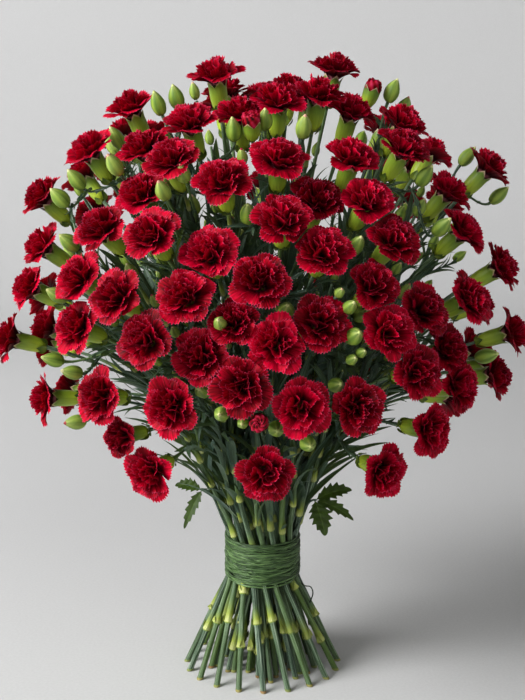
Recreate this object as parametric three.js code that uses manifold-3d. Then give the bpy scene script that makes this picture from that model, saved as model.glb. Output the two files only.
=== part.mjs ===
// A hand-tied bunch of spray carnations that stands on its splayed cut stems.
// Millimetres, +Z up, origin under the middle of the bunch at the cut ends, front towards -Y.
import * as THREE from "three";
import { mergeVertices } from "three/addons/utils/BufferGeometryUtils.js";
import Module from "manifold-3d";

const wasm = await Module();
wasm.setup();

// Driving dimensions.
const ballRadius = 205; // the blooms lie on a ball of this radius
const ballHeight = 317; // the middle of that ball above the cut ends
const facingHeight = 232; // the blooms face away from this height on the axis
const lowestFacing = -0.15; // no bloom nods further down than this
const eye = new THREE.Vector3(0, -950, 398); // the front places below are as seen from here
const bloomRadius = 21.5; // a spray carnation's head is 40 to 45 mm across
const neckDepth = 9; // from the rim of the petals down to the cup's mouth
const cupLength = 24; // the green cup, from its mouth to the stalk
const cupRadius = 6.6;
const seatGap = 0.3; // between two pieces that touch
const clearance = 1; // kept round a bloom that stands free of its neighbours
const petalCount = 5; // broad outer petals in a bloom
const petalHalf = 0.36; // half the turn between a petal's two front corners, in radians
const notchShare = 0.74; // how far out the rim runs between two petals
const creaseRadius = 9.5; // where the outer petals meet the inner ones, and its rise above the rim
const creaseRise = 2.6;
const innerRadius = 14.5; // the tips of the inner petals
const innerRise = 8;
const foldRadius = 10; // and the folds between them
const foldRise = 5;
const tuftRise = 12; // the top of the bloom
const pressedHalf = 6.5; // half the width of a petal that presses on the next bloom
const lowestPress = -6; // two blooms press no further down than this
const pushStep = 2; // a bloom that isn't clear moves back by this much at a time
const furthestPush = 60;
const stemRadius = 2.55; // stems are 4.5 to 5 mm thick
const stalkRadius = 1.2;
const tieBottom = 84;
const tieTop = 118;
const tieRadius = 32;
const tieBore = 30.5; // inside of the tie, to the corners of its 20 sides
const waistRadius = 27.2; // the outer stems run this far from the axis in the tie
const innerWaistRadius = 21.9; // and the inner ones this far
const footRadius = 66; // the outer stems' cut ends
const innerFootRadius = 47;
const spiral = 0.28; // how far the stems lean sideways for each mm of height
const outerStems = 20;
const waistTwist = 0.45; // how far the stems wind round the axis from the tie to the blooms, in radians
const footTwist = 0.5; // and from the tie down to their cut ends
const forks = [0.6, 0.48, 0.36, 0.54, 0.42]; // where the stalks leave, from the tie (0) to the main bloom (1)
const pressDepth = 2; // how far past their meeting point two pressed petals reach
const rootShare = 0.45; // a stalk's root against the rest of it
const budLength = 18;
const budRadius = 5.2;
const leafWidth = 6.5;
// The ways a leaf may grow, the first clear one taken: its turn from straight out and its length.
const leafTrials = [[0.2, 62], [-0.5, 60], [0.7, 56], [-1, 50], [1.2, 48], [0.2, 44], [-0.6, 40]];
const twigRadius = 1.1;
const leafHalfThickness = 0.6; // of a toothed leaf at its rib
const tieSides = 20;
const tieWraps = 3;
const tieGroove = 0.6; // the depth of the grooves between its wraps

// The front places of the blooms: across and up, in mm, on an upright sheet through the axis, then
// how far behind the ball's face the bloom sits along the sight line, the number of the bloom in its
// cluster that its petals press against, and its size where it is smaller than the rest. A cluster
// is one run of touching heads, and a spray carries one or two clusters on one stem.
const frontSprays = [
  { clusters: [[[12, 281, 0], [50, 298, 7, 0], [-25, 299, 12, 0, 0.85], [-18, 244, 0, 0]]] },
  { clusters: [[[18, 387, 0], [52, 360, 0, 0], [-2, 335, 0, 0]]] },
  { clusters: [[[-45, 359, 0], [-94, 375, 0, 0], [-66, 322, 4, 0]]] },
  { clusters: [[[-34, 420, 0], [14, 438, 0, 0], [46, 404, 10, 1]]] },
  { clusters: [[[89, 403, 0], [76, 439, 0, 0, 0.95], [112, 370, 0, 0]]] },
  { clusters: [[[109, 292, 0], [96, 331, 4, 0, 0.92], [135, 257, 0, 0]]] },
  { clusters: [[[-53, 270, 5], [-101, 285, 0, 0], [-80, 226, 0, 0]]] },
  { clusters: [[[35, 225, 0], [83, 225, 0, 0, 0.95]]] },
  { clusters: [[[-126, 322, 0], [-157, 338, 6, 0], [-137, 380, 0, 1], [-102, 409, 12, 2],
    [-160, 296, 4, 0]]] },
  { clusters: [[[160, 276, 3], [139, 310, 14, 0], [178, 320, 0, 1], [171, 244, 3, 0], [147, 205, 0, 3],
    [107, 168, 6, 4]]] },
  { clusters: [[[-77, 438, 0], [-61, 468, 0, 0], [-19, 475, 12, 1], [-39, 507, 0, 2]]] },
  { clusters: [[[47, 491, 0], [13, 486, 0, 0], [74, 477, 14, 0], [60, 511, 0, 2]]] },
  { clusters: [[[119, 447, 0], [117, 468, 6, 0]]] },
  { clusters: [[[-110, 480, 0], [-101, 447, 25, 0], [-146, 445, 0, 1]]] },
  { clusters: [[[-187, 365, 38], [-186, 406, 0, 0], [-199, 330, 20, 0]]] },
  { clusters: [[[-185, 295, 55], [-217, 286, 0, 0]], [[-188, 234, 35]]] },
  { clusters: [[[-142, 235, 0], [-124, 199, 6, 0, 0.7], [-99, 167, 0, 1]]] },
  { clusters: [[[157, 411, 60], [190, 430, 0, 0], [171, 378, 42, 0], [203, 347, 4, 2]]] },
  { clusters: [[[214, 291, 0], [201, 254, 0, 0]]] },
  { clusters: [[[3, 166, 0]]] },
];

// The clusters at the back: the turn of the middle bloom round the axis and its rise, in degrees, the
// number of heads, one of them in the middle and the rest in a ring round it, and how deep the
// cluster lies under the ball's face. The crown of the ball is a little hollow.
const backClusters = [
  [15, -14, 5, 0], [65, -12, 5, 0], [115, -14, 5, 0], [165, -12, 5, 0],
  [34, 35, 6, 0], [90, 29, 5, 0], [146, 35, 6, 0], [90, 80, 6, 25],
];
const backSpacing = 45;

// The buds seen from the front, across and up on the same sheet.
const frontBuds = [
  [-86, 480], [-121, 452], [-123, 430], [-155, 418], [-169, 403], [-71, 485], [-24, 459],
  [-78, 419], [-12, 390], [34, 461], [107, 490], [116, 476], [89, 487], [170, 437], [135, 421],
  [197, 405], [-162, 366], [-173, 322], [-178, 267], [-162, 256], [-25, 315], [20, 309],
  [79, 364], [84, 306], [150, 379], [190, 270], [-160, 213], [-51, 241],
  [-3, 213], [12, 207], [39, 194], [63, 245],
];

const petalRed = { color: 0x8e0c22, roughness: 0.62, metalness: 0 };
const stemGreen = { color: 0x5d7346, roughness: 0.6, metalness: 0 };
const leafGreen = { color: 0x42592a, roughness: 0.55, metalness: 0 };
const tieGreen = { color: 0x3f6128, roughness: 0.75, metalness: 0 };

// A small seeded random source, so that the bunch is the same each time.
function seeded(seed) {
  let state = seed;
  return () => {
    state = (state * 16807) % 2147483647;
    return state / 2147483647;
  };
}
const draw = seeded(20031);
const vary = (size) => (draw() * 2 - 1) * size;

const point = (x, y, z) => new THREE.Vector3(x, y, z);
const along = (start, direction, distance) => start.clone().addScaledVector(direction, distance);

// Where the sight line to a place on the upright sheet meets the ball, or passes closest to it.
function layOnBall(across, up, behind) {
  const sight = point(across, 0, up).sub(eye).normalize();
  const fromMiddle = eye.clone().sub(point(0, 0, ballHeight));
  const half = fromMiddle.dot(sight);
  const under = half * half - fromMiddle.lengthSq() + ballRadius * ballRadius;
  const reach = under > 0 ? -half - Math.sqrt(under) : -half;
  return { place: along(eye, sight, reach + behind), sight };
}

function facingAt(place) {
  const facing = place.clone().sub(point(0, 0, facingHeight)).normalize();
  facing.z = Math.max(facing.z, lowestFacing);
  return facing.normalize();
}

// The space that a bloom takes up, as points with a radius round them, in its petals or in its cup and stalk.
function bloomSamples(head) {
  const samples = [];
  const side = sideways(head.facing);
  const other = head.facing.clone().cross(side);
  const ring = (count, radius, rise, turn) => {
    for (let i = 0; i < count; i += 1) {
      const angle = turn + (i * 2 * Math.PI) / count;
      const at = along(head.place, head.facing, rise);
      at.addScaledVector(side, radius * Math.cos(angle)).addScaledVector(other, radius * Math.sin(angle));
      samples.push({ at, radius: 0, petals: true });
    }
  };
  ring(16, bloomRadius * head.size, 0, 0);
  ring(8, bloomRadius * 0.66 * head.size, 7, 0.4);
  const cup = [[-12, cupRadius], [-20, cupRadius * 0.94], [-28, cupRadius * 0.76]];
  const stalk = [[-38, stalkRadius], [-48, stalkRadius], [-58, stalkRadius]];
  for (const [rise, radius] of [...cup, ...stalk]) {
    samples.push({ at: along(head.place, head.facing, rise), radius, petals: false });
  }
  return samples;
}

function sideways(facing) {
  const up = Math.abs(facing.z) > 0.9 ? point(0, -1, 0) : point(0, 0, 1);
  return up.cross(facing).normalize();
}

// How far up a bloom's own axis a place lies, and how far out from that axis.
function fromBloom(head, place) {
  const offset = place.clone().sub(head.place);
  const rise = offset.dot(head.facing);
  return { rise, out: Math.sqrt(Math.max(0, offset.lengthSq() - rise * rise)) };
}

// Whether a sample lies in the petals of a bloom, or in its cup and the first of its stalk.
function inPetals(sample, head) {
  const { rise, out } = fromBloom(head, sample.at);
  const spare = clearance + sample.radius;
  const radius = bloomRadius * head.size;
  const under = -neckDepth + (neckDepth * Math.min(out, radius)) / radius - 1.5;
  const over = out < 15 ? 11 : 11 - (out - 15) * 1.3;
  return out < radius + spare && rise > under - spare && rise < Math.max(over, 2) + spare;
}
function inGreen(sample, head) {
  const { rise, out } = fromBloom(head, sample.at);
  const spare = clearance + sample.radius;
  if (rise > -neckDepth || rise < -62) return false;
  return out < spare + (rise > -neckDepth - cupLength ? cupRadius : stalkRadius);
}

function bloomsMeet(a, b) {
  for (const [one, two] of [[a, b], [b, a]]) {
    for (const sample of one.samples) {
      const samePetals = sample.petals && one.cluster === two.cluster;
      const sameGreen = !sample.petals && one.spray === two.spray;
      if (!samePetals && inPetals(sample, two)) return true;
      if (!sameGreen && inGreen(sample, two)) return true;
    }
  }
  return false;
}

// All the blooms, the foremost first, each pushed back along its sight line until it is clear.
function placeBlooms() {
  const wanted = [];
  let cluster = 0;
  frontSprays.forEach((spray, sprayNumber) => {
    spray.clusters.forEach((rows) => {
      rows.forEach(([across, up, behind, partner, size = 1], order) => {
        wanted.push({ across, up, behind, partner, size, order, cluster, spray: sprayNumber });
      });
      cluster += 1;
    });
  });
  const heads = [];
  const byDepth = [...wanted].sort((a, b) => a.behind - b.behind);
  for (const row of byDepth) {
    const { place, sight } = layOnBall(row.across, row.up, row.behind);
    const head = { ...row, place, facing: facingAt(place) };
    head.samples = bloomSamples(head);
    let pushed = 0;
    while (pushed < furthestPush && heads.some((placed) => bloomsMeet(head, placed))) {
      pushed += pushStep;
      head.place.addScaledVector(sight, pushStep);
      head.facing = facingAt(head.place);
      head.samples = bloomSamples(head);
    }
    heads.push(head);
  }
  backClusters.forEach(([turn, rise, count, deep], number) => {
    const middle = THREE.MathUtils.degToRad(turn);
    const up = THREE.MathUtils.degToRad(rise);
    const outward = point(Math.cos(middle) * Math.cos(up), Math.sin(middle) * Math.cos(up), Math.sin(up));
    const side = sideways(outward);
    const other = outward.clone().cross(side);
    for (let order = 0; order < count; order += 1) {
      const angle = (order * 2 * Math.PI) / (count - 1) + vary(0.2) + number;
      const reach = order === 0 ? 0 : (backSpacing + vary(2)) / ballRadius;
      const toward = side.clone().multiplyScalar(Math.cos(angle)).addScaledVector(other, Math.sin(angle));
      const place = outward.clone().multiplyScalar(Math.cos(reach)).addScaledVector(toward, Math.sin(reach));
      place.multiplyScalar(ballRadius - deep - Math.abs(vary(5))).add(point(0, 0, ballHeight));
      const head = { place, facing: facingAt(place), size: 1, order, plain: true };
      head.cluster = cluster + number;
      head.spray = frontSprays.length + number;
      head.partner = order === 0 ? undefined : 0;
      head.samples = bloomSamples(head);
      if (!heads.some((placed) => bloomsMeet(head, placed))) heads.push(head);
    }
  });
  heads.sort((a, b) => a.cluster - b.cluster || a.order - b.order);
  return heads;
}

// A closed skin over rings of corners that follow one another, each ring turning the same way and
// the first corner of each in line with the others'. A ring may be one point.
function skin(rings) {
  const positions = [];
  const faces = [];
  const starts = rings.map((ring) => {
    const start = positions.length / 3;
    ring.forEach((corner) => positions.push(corner.x, corner.y, corner.z));
    return start;
  });
  for (let r = 1; r < rings.length; r += 1) {
    stitch(faces, starts[r - 1], rings[r - 1].length, starts[r], rings[r].length);
  }
  const last = rings.length - 1;
  for (let i = 1; i + 1 < rings[0].length; i += 1) faces.push(starts[0], starts[0] + i + 1, starts[0] + i);
  for (let i = 1; i + 1 < rings[last].length; i += 1) {
    faces.push(starts[last], starts[last] + i, starts[last] + i + 1);
  }
  return solidFrom(positions, faces);
}

function stitch(faces, lower, lowerCount, upper, upperCount) {
  let i = 0;
  let j = 0;
  const lowerSteps = lowerCount > 1 ? lowerCount : 0;
  const upperSteps = upperCount > 1 ? upperCount : 0;
  while (i < lowerSteps || j < upperSteps) {
    const onLower = lower + (i % lowerCount);
    const onUpper = upper + (j % upperCount);
    if (j >= upperSteps || (i < lowerSteps && (i + 1) * upperCount <= (j + 1) * lowerCount)) {
      faces.push(onLower, lower + ((i + 1) % lowerCount), onUpper);
      i += 1;
    } else {
      faces.push(onLower, upper + ((j + 1) % upperCount), onUpper);
      j += 1;
    }
  }
}

function solidFrom(positions, faces) {
  const vertProperties = new Float32Array(positions);
  const triVerts = new Uint32Array(faces);
  return new wasm.Manifold(new wasm.Mesh({ numProp: 3, vertProperties, triVerts }));
}

// A ring of corners round a point, square to a direction, its first corner towards "first".
function ringOf(count, centre, direction, first, radius) {
  const side = first.clone().addScaledVector(direction, -first.dot(direction)).normalize();
  const other = direction.clone().cross(side);
  const ring = [];
  for (let i = 0; i < count; i += 1) {
    const angle = (i * 2 * Math.PI) / count;
    const corner = along(centre, side, radius * Math.cos(angle));
    ring.push(corner.addScaledVector(other, radius * Math.sin(angle)));
  }
  return ring;
}

// Where two heads press together, kept from sinking under the cup of the higher one.
function meeting(a, b) {
  const middle = a.place.clone().lerp(b.place, 0.5);
  for (const head of a.order < b.order ? [a, b] : [b, a]) {
    const { rise } = fromBloom(head, middle);
    if (rise < lowestPress) middle.addScaledVector(head.facing, lowestPress - rise);
  }
  return middle;
}

// The turn from one angle to another, the short way round.
function swing(from, to) {
  return Math.atan2(Math.sin(to - from), Math.cos(to - from));
}

// The outer petals of a bloom, evenly round it, with one turned towards each bloom that it presses on.
function petalsOf(head, partners, side, other, turn) {
  const petals = [];
  for (let k = 0; k < petalCount; k += 1) {
    petals.push({ angle: turn + (k * 2 * Math.PI) / petalCount + vary(0.1) });
  }
  for (const partner of partners) {
    const offset = partner.place.clone().sub(head.place);
    const angle = Math.atan2(offset.dot(other), offset.dot(side));
    const off = (petal) => Math.abs(swing(petal.angle, angle));
    const free = petals.filter((petal) => !petal.partner);
    const nearest = free.reduce((best, petal) => (off(petal) < off(best) ? petal : best));
    nearest.angle += swing(nearest.angle, angle);
    nearest.partner = partner;
  }
  return petals;
}

// One bloom: broad outer petals, a ring of upright inner petals and a tuft, in one skin.
function bloomSolid(head, partners) {
  const { place, facing } = head;
  const side = sideways(facing);
  const other = facing.clone().cross(side);
  const at = (angle, radius, rise) => {
    const out = radius * (radius > cupRadius ? head.size : 1);
    return along(place, facing, rise)
      .addScaledVector(side, out * Math.cos(angle))
      .addScaledVector(other, out * Math.sin(angle));
  };
  const turn = draw() * Math.PI * 2;
  const petals = petalsOf(head, partners, side, other, turn);
  const neck = [];
  const rim = [];
  const crease = [];
  const inner = [];
  petals.forEach((petal, k) => {
    const next = petals[(k + 1) % petalCount];
    const gap = (next.angle - petal.angle + 4 * Math.PI) % (2 * Math.PI);
    const half = petalHalf + vary(0.04);
    const radius = bloomRadius + vary(1);
    const lift = vary(1.2);
    if (petal.partner) {
      const middle = meeting(head, petal.partner);
      const across = middle.clone().sub(place).normalize();
      middle.addScaledVector(across, pressDepth);
      const wide = facing.clone().cross(across).normalize();
      rim.push(along(middle, wide, -pressedHalf), along(middle, wide, pressedHalf));
    } else {
      rim.push(at(petal.angle - half, radius, lift - 1.2), at(petal.angle + half, radius, lift + 1.2));
    }
    rim.push(at(petal.angle + gap / 2, bloomRadius * notchShare, 1.5 + vary(0.8)));
    neck.push(at(turn + (k * 2 * Math.PI) / petalCount, cupRadius * 0.7, -neckDepth));
    crease.push(at(petal.angle, creaseRadius, creaseRise));
    inner.push(at(petal.angle + gap * 0.35, innerRadius + vary(0.8), innerRise + vary(1)));
    if (!head.plain) inner.push(at(petal.angle + gap * 0.85, foldRadius, foldRise));
  });
  const tuft = [at(turn, 1.5, tuftRise + vary(0.8))];
  return skin([neck, rim, crease, inner, tuft]);
}

const upright = point(0, 0, 1);

// Rings along a stem or stalk, from sections of corners, centre, direction and radius. The first
// corner turns only as far as the direction does, so that no stretch is twisted.
function ringsAlong(sections, first) {
  const toward = first.clone();
  let last = sections[0][2];
  return sections.map(([count, centre, direction, radius]) => {
    toward.applyQuaternion(new THREE.Quaternion().setFromUnitVectors(last, direction));
    last = direction;
    return ringOf(count, centre, direction, toward, radius);
  });
}

function cupSections(head) {
  const bottom = along(head.place, head.facing, -neckDepth - cupLength + 4);
  const mouth = along(head.place, head.facing, -neckDepth - seatGap);
  return [[5, bottom, head.facing, cupRadius * 0.78], [5, mouth, head.facing, cupRadius]];
}

// The middle lines of stems and stalks are cubic curves of four points.
function curveAt(curve, t) {
  const [a, b, c, d] = curve;
  const s = 1 - t;
  const at = a.clone().multiplyScalar(s * s * s);
  at.addScaledVector(b, 3 * s * s * t).addScaledVector(c, 3 * s * t * t);
  return at.addScaledVector(d, t * t * t);
}

function headingAt(curve, t) {
  return curveAt(curve, Math.min(1, t + 0.01)).sub(curveAt(curve, Math.max(0, t - 0.01))).normalize();
}

function tubeSections(curve, steps, sides, radius) {
  return steps.map((t) => [sides, curveAt(curve, t), headingAt(curve, t), radius]);
}

// A stalk starts slim, within the stem that it grows from.
function stalkSections({ curve, steps }, radius) {
  const root = tubeSections(curve, steps.slice(0, 1), 3, radius * rootShare);
  return [...root, ...tubeSections(curve, steps.slice(1), 3, radius)];
}

// A stalk that leaves a stem or another stalk and ends square on what it carries.
function stalkLine(parent, t, foot, facing) {
  const start = spineAt(parent, t);
  const length = start.distanceTo(foot);
  const toFoot = foot.clone().sub(start).normalize();
  const leaving = headingAt(parent.curve, t).addScaledVector(toFoot, 1.6).normalize();
  const curve = [start, along(start, leaving, length * 0.3), along(foot, facing, -length * 0.32), foot];
  return { curve, steps: [0, 0.5, 1] };
}

// Where a stem's middle line passes at a height in the tie.
function waistAt(radius, turn, height) {
  const lean = (-spiral * (height - (tieBottom + tieTop) / 2)) / radius;
  return point(radius * Math.cos(turn + lean), radius * Math.sin(turn + lean), height);
}

// The sprays, each with its place in the tie: the widest spread ones outside, in the order of their
// turn round the axis, and the upright ones inside.
function planSprays(heads) {
  const sprays = [];
  const count = Math.max(...heads.map((head) => head.spray)) + 1;
  for (let name = 0; name < count; name += 1) {
    const own = heads.filter((head) => head.spray === name);
    const middle = point(0, 0, 0);
    own.forEach((head) => middle.add(head.place));
    middle.divideScalar(own.length);
    const tilt = Math.hypot(middle.x, middle.y) / (middle.z - tieTop);
    sprays.push({ name, own, turn: Math.atan2(middle.y, middle.x), tilt });
  }
  const byTilt = [...sprays].sort((a, b) => Math.abs(b.tilt) - Math.abs(a.tilt));
  byTilt.forEach((spray, order) => {
    spray.outer = order < outerStems;
  });
  const step = (2 * Math.PI) / outerStems;
  const outer = sprays.filter((spray) => spray.outer).sort((a, b) => a.turn - b.turn);
  const start = outer.reduce((sum, spray, k) => sum + spray.turn - k * step, 0) / outerStems;
  outer.forEach((spray, k) => {
    spray.waist = start + k * step + waistTwist;
  });
  const taken = new Set();
  const inner = sprays.filter((spray) => !spray.outer).sort((a, b) => a.turn - b.turn);
  inner.forEach((spray) => {
    let slot = Math.round((spray.turn - start) / step);
    while (taken.has((slot + outerStems) % outerStems)) slot += 1;
    taken.add((slot + outerStems) % outerStems);
    spray.waist = start + slot * step + waistTwist;
  });
  sprays.forEach((spray) => planSpray(spray));
  return sprays;
}

function planSpray(spray) {
  const radius = spray.outer ? waistRadius : innerWaistRadius;
  const footTurn = spray.waist + footTwist;
  const foot = spray.outer ? footRadius : innerFootRadius;
  const main = spray.own[0];
  const top = along(main.place, main.facing, -neckDepth - cupLength);
  const sideAway = point(Math.sin(spray.waist), -Math.cos(spray.waist), 0);
  spray.outward = point(Math.cos(spray.waist), Math.sin(spray.waist), 0);
  spray.end = point(foot * Math.cos(footTurn), foot * Math.sin(footTurn), 0);
  spray.low = waistAt(radius, spray.waist, tieBottom);
  spray.high = waistAt(radius, spray.waist, tieTop);
  spray.joint = 0.25 + 0.5 * draw();
  const leaving = upright.clone().addScaledVector(spray.outward, spray.outer ? 0.4 : 0.15);
  leaving.addScaledVector(sideAway, spiral).normalize();
  const length = spray.high.distanceTo(top);
  const bend = along(top, main.facing, -length * 0.32);
  const curve = [spray.high, along(spray.high, leaving, length * 0.33), bend, top];
  spray.line = { curve, steps: [0, 0.2, 0.36, 0.48, 0.6, 0.8, 1] };
  spray.stalks = spray.own.slice(1).map((head, k) => {
    const stalkTop = along(head.place, head.facing, -neckDepth - cupLength);
    return { head, line: stalkLine(spray.line, forks[k % forks.length], stalkTop, head.facing) };
  });
}

// The stem from its cut end up through the tie, past its forks and into the cup of its main bloom.
function stemSolid(spray) {
  const { end, low, high, line, outward } = spray;
  const down = low.clone().sub(end).normalize();
  const foot = ringOf(5, end, down, outward, stemRadius);
  foot.forEach((corner) => corner.addScaledVector(down, -corner.z / down.z));
  const joint = end.clone().lerp(low, spray.joint);
  const sections = [
    [5, joint, down, stemRadius * 0.92],
    [5, along(joint, down, 1.5), down, stemRadius * 1.35],
    [5, low, upright, stemRadius],
    [5, high, upright, stemRadius],
    ...tubeSections(line.curve, [0.2], 5, stemRadius * 0.85),
    ...tubeSections(line.curve, [0.36, 0.48, 0.6], 3, stemRadius * 0.8),
    ...tubeSections(line.curve, [0.8, 1], 3, stalkRadius),
    ...cupSections(spray.own[0]),
  ];
  return skin([foot, ...ringsAlong(sections, outward)]);
}

function stalkSolid({ line, head }) {
  return skin(ringsAlong([...stalkSections(line, stalkRadius), ...cupSections(head)], upright));
}

// The straight run between the rings of a tube, which its stalks grow from.
function spineAt(line, t) {
  const k = Math.max(1, line.steps.findIndex((step) => step >= t));
  const [before, after] = [line.steps[k - 1], line.steps[k]];
  return curveAt(line.curve, before).lerp(curveAt(line.curve, after), (t - before) / (after - before));
}

// What a bud or a leaf has to keep clear of: the blooms, and every stem and stalk as a row of points.
function wireOf(line, radius, spray) {
  const points = [];
  for (let k = 0; k <= 24; k += 1) points.push(spineAt(line, k / 24));
  return { points, radius, spray, line };
}

function isClear(at, radius, heads, wires, owner) {
  const sample = { at, radius: radius + 0.4 };
  const inBloom = (head) => inPetals(sample, head) || (head.spray !== owner && inGreen(sample, head));
  if (heads.some(inBloom)) return false;
  const near = (wire) => wire.points.some((one) => one.distanceTo(at) < radius + wire.radius + 1.6);
  return !wires.some((wire) => wire.spray !== owner && near(wire));
}

// The places of the buds, with one or two beside each cluster at the back.
function budPlaces() {
  const places = frontBuds.map(([across, up]) => layOnBall(across, up, 4));
  for (const [turn, rise, , deep] of backClusters) {
    const middle = THREE.MathUtils.degToRad(turn + 17);
    const up = THREE.MathUtils.degToRad(rise + 9);
    const outward = point(Math.cos(middle) * Math.cos(up), Math.sin(middle) * Math.cos(up), Math.sin(up));
    const place = along(point(0, 0, ballHeight), outward, ballRadius - 4 - deep);
    places.push({ place, sight: outward.clone().negate() });
  }
  return places;
}

// The buds: each is pushed back along its sight line until it is clear, and its stalk joins the
// nearest stem or stalk that it can reach.
function placeBuds(places, heads, wires) {
  const buds = [];
  for (const { place, sight } of places) {
    let bud = null;
    for (let behind = 0; behind < 50 && !bud; behind += 3) {
      const at = along(place, sight, behind);
      const facing = facingAt(at);
      const body = [-6, 0, 6].map((rise) => along(at, facing, rise));
      const free = (spray) => body.every((spot) => isClear(spot, budRadius, heads, wires, spray));
      if (!free(-1)) continue;
      bud = joinBud(at, facing, heads, wires);
    }
    if (!bud) continue;
    buds.push(bud);
    wires.push(wireOf(bud.line, stalkRadius, bud.spray));
    wires.push({ points: [bud.at], radius: budRadius + 3, spray: bud.spray });
  }
  return buds;
}

function joinBud(at, facing, heads, wires) {
  const foot = along(at, facing, -budLength / 2);
  const choices = [];
  for (const wire of wires.filter((one) => one.line && !one.leaf)) {
    for (const t of [0.2, 0.36, 0.48, 0.6, 0.8]) {
      const gap = spineAt(wire.line, t).distanceTo(foot);
      if (gap > 22 && gap < 75) choices.push({ wire, t, gap });
    }
  }
  choices.sort((a, b) => a.gap - b.gap);
  for (const { wire, t } of choices) {
    const line = stalkLine(wire.line, t, foot, facing);
    const samples = [0.3, 0.45, 0.6, 0.75, 0.9].map((u) => spineAt(line, u));
    const ownHeads = heads.filter((head) => head.spray === wire.spray);
    const clear = samples.every((spot) => isClear(spot, stalkRadius, heads, wires, wire.spray));
    const inOwn = (spot) => ownHeads.some((head) => inGreen({ at: spot, radius: 1 }, head));
    const apart = !samples.slice(1).some(inOwn);
    if (clear && apart) return { at, facing, line, spray: wire.spray };
  }
  return null;
}

function budSolid(bud) {
  const widest = [5, along(bud.at, bud.facing, -budLength * 0.15), bud.facing, budRadius];
  const rings = ringsAlong([...stalkSections(bud.line, stalkRadius * 0.85), widest], upright);
  return skin([...rings, [along(bud.at, bud.facing, budLength / 2)]]);
}

// Strap leaves, in a pair or alone, on the outer side of the stems above the tie.
function placeLeaves(sprays, heads, wires) {
  for (const spray of sprays) {
    spray.leaves = [];
    for (const t of spray.outer ? [0.1, 0.26].slice(spray.name % 3 === 0 ? 0 : 1) : []) {
      const start = spineAt(spray.line, t);
      const heading = headingAt(spray.line.curve, t);
      const out = point(start.x, start.y, 0).normalize();
      const side = out.clone().cross(heading).normalize();
      let leaf = null;
      for (const [sway, length] of leafTrials) {
        const away = out.clone().multiplyScalar(Math.cos(sway)).addScaledVector(side, Math.sin(sway));
        const bend = along(along(start, heading, length * 0.4), away, length * 0.16);
        const late = along(along(start, heading, length * 0.62), away, length * 0.42);
        const tip = along(along(start, heading, length * 0.7), away, length * 0.75);
        const line = { curve: [start, bend, late, tip], steps: [0, 0.3, 0.68, 1] };
        const samples = [0.25, 0.4, 0.55, 0.7, 0.85, 1].map((u) => spineAt(line, u));
        if (!leaf && samples.every((spot) => isClear(spot, leafWidth / 2, heads, wires, spray.name))) {
          leaf = { line, side };
        }
      }
      if (!leaf) continue;
      spray.leaves.push(leaf);
      wires.push({ ...wireOf(leaf.line, leafWidth / 2, spray.name), leaf: true });
    }
  }
}

// A leaf blade is flat above and keeled below.
function leafSolid({ line, side }) {
  const { curve } = line;
  const ring = (t, width) => {
    const at = curveAt(curve, t);
    const heading = headingAt(curve, t);
    const across = side.clone().addScaledVector(heading, -side.dot(heading)).normalize();
    const keel = heading.clone().cross(across).multiplyScalar(Math.min(1.6, width * 0.3));
    return [along(at, across, -width / 2), at.clone().sub(keel), along(at, across, width / 2)];
  };
  return skin([ring(0, 2), ring(0.3, leafWidth), ring(0.68, leafWidth * 0.8), [curveAt(curve, 1)]]);
}

// The leafy twigs beside the tie: the turn round the axis at which each leaves the tie, in degrees, where
// it forks, and the tips and widths of its toothed leaves.
const twigs = [
  {
    name: "leafy_twig_right",
    turn: -22,
    fork: [45, -19, 150],
    leaves: [[[53, -27, 121], 17], [[77, -22, 133], 10], [[76, -12, 157], 13]],
  },
  {
    name: "leafy_twig_left",
    turn: 203,
    fork: [-52, -22, 160],
    leaves: [[[-66, -27, 127], 9], [[-74, -16, 162], 11]],
  },
];

function planTwig(twig, sprays) {
  const step = (2 * Math.PI) / outerStems;
  const first = sprays.find((spray) => spray.outer).waist + step / 2;
  const lean = (spiral * (tieTop - tieBottom)) / 2 / waistRadius;
  const wanted = THREE.MathUtils.degToRad(twig.turn) + lean;
  const turn = first + Math.round((wanted - first) / step) * step;
  const radius = tieBore * Math.cos(Math.PI / tieSides) - twigRadius - seatGap;
  const low = waistAt(radius, turn, tieBottom + 10);
  const high = waistAt(radius, turn, tieTop);
  const fork = point(...twig.fork);
  const outward = point(high.x, high.y, 0).normalize();
  const length = high.distanceTo(fork);
  const rise = upright.clone().addScaledVector(outward, 0.9).normalize();
  const curve = [high, along(high, rise, length * 0.4), along(fork, outward, -length * 0.3), fork];
  return { ...twig, low, line: { curve, steps: [0, 0.35, 0.7, 1] } };
}

// A toothed leaf: diamond sections along a drooping rib, every other one drawn in.
function toothedLeaf(start, [tip, width]) {
  const end = point(...tip);
  const heading = end.clone().sub(start).normalize();
  const face = point(0, -0.75, 0.65);
  const across = heading.clone().cross(face).normalize();
  const top = across.clone().cross(heading).normalize();
  const arch = start.distanceTo(end) * 0.12;
  const curve = [start, start.clone().lerp(end, 0.33), start.clone().lerp(end, 0.67), end];
  curve[1].addScaledVector(upright, arch);
  curve[2].addScaledVector(upright, arch);
  const rings = [ringOf(4, start, heading, across, twigRadius * 0.7)];
  const teeth = [[0.16, 0.35], [0.34, 1], [0.42, 0.58], [0.6, 0.9], [0.68, 0.45], [0.84, 0.5]];
  for (const [t, share] of teeth) {
    const at = curveAt(curve, t);
    const half = (share * width) / 2;
    const [right, left] = [along(at, across, half), along(at, across, -half)];
    rings.push([right, along(at, top, -leafHalfThickness), left, along(at, top, leafHalfThickness)]);
  }
  rings.push([end]);
  return skin(rings);
}

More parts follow.
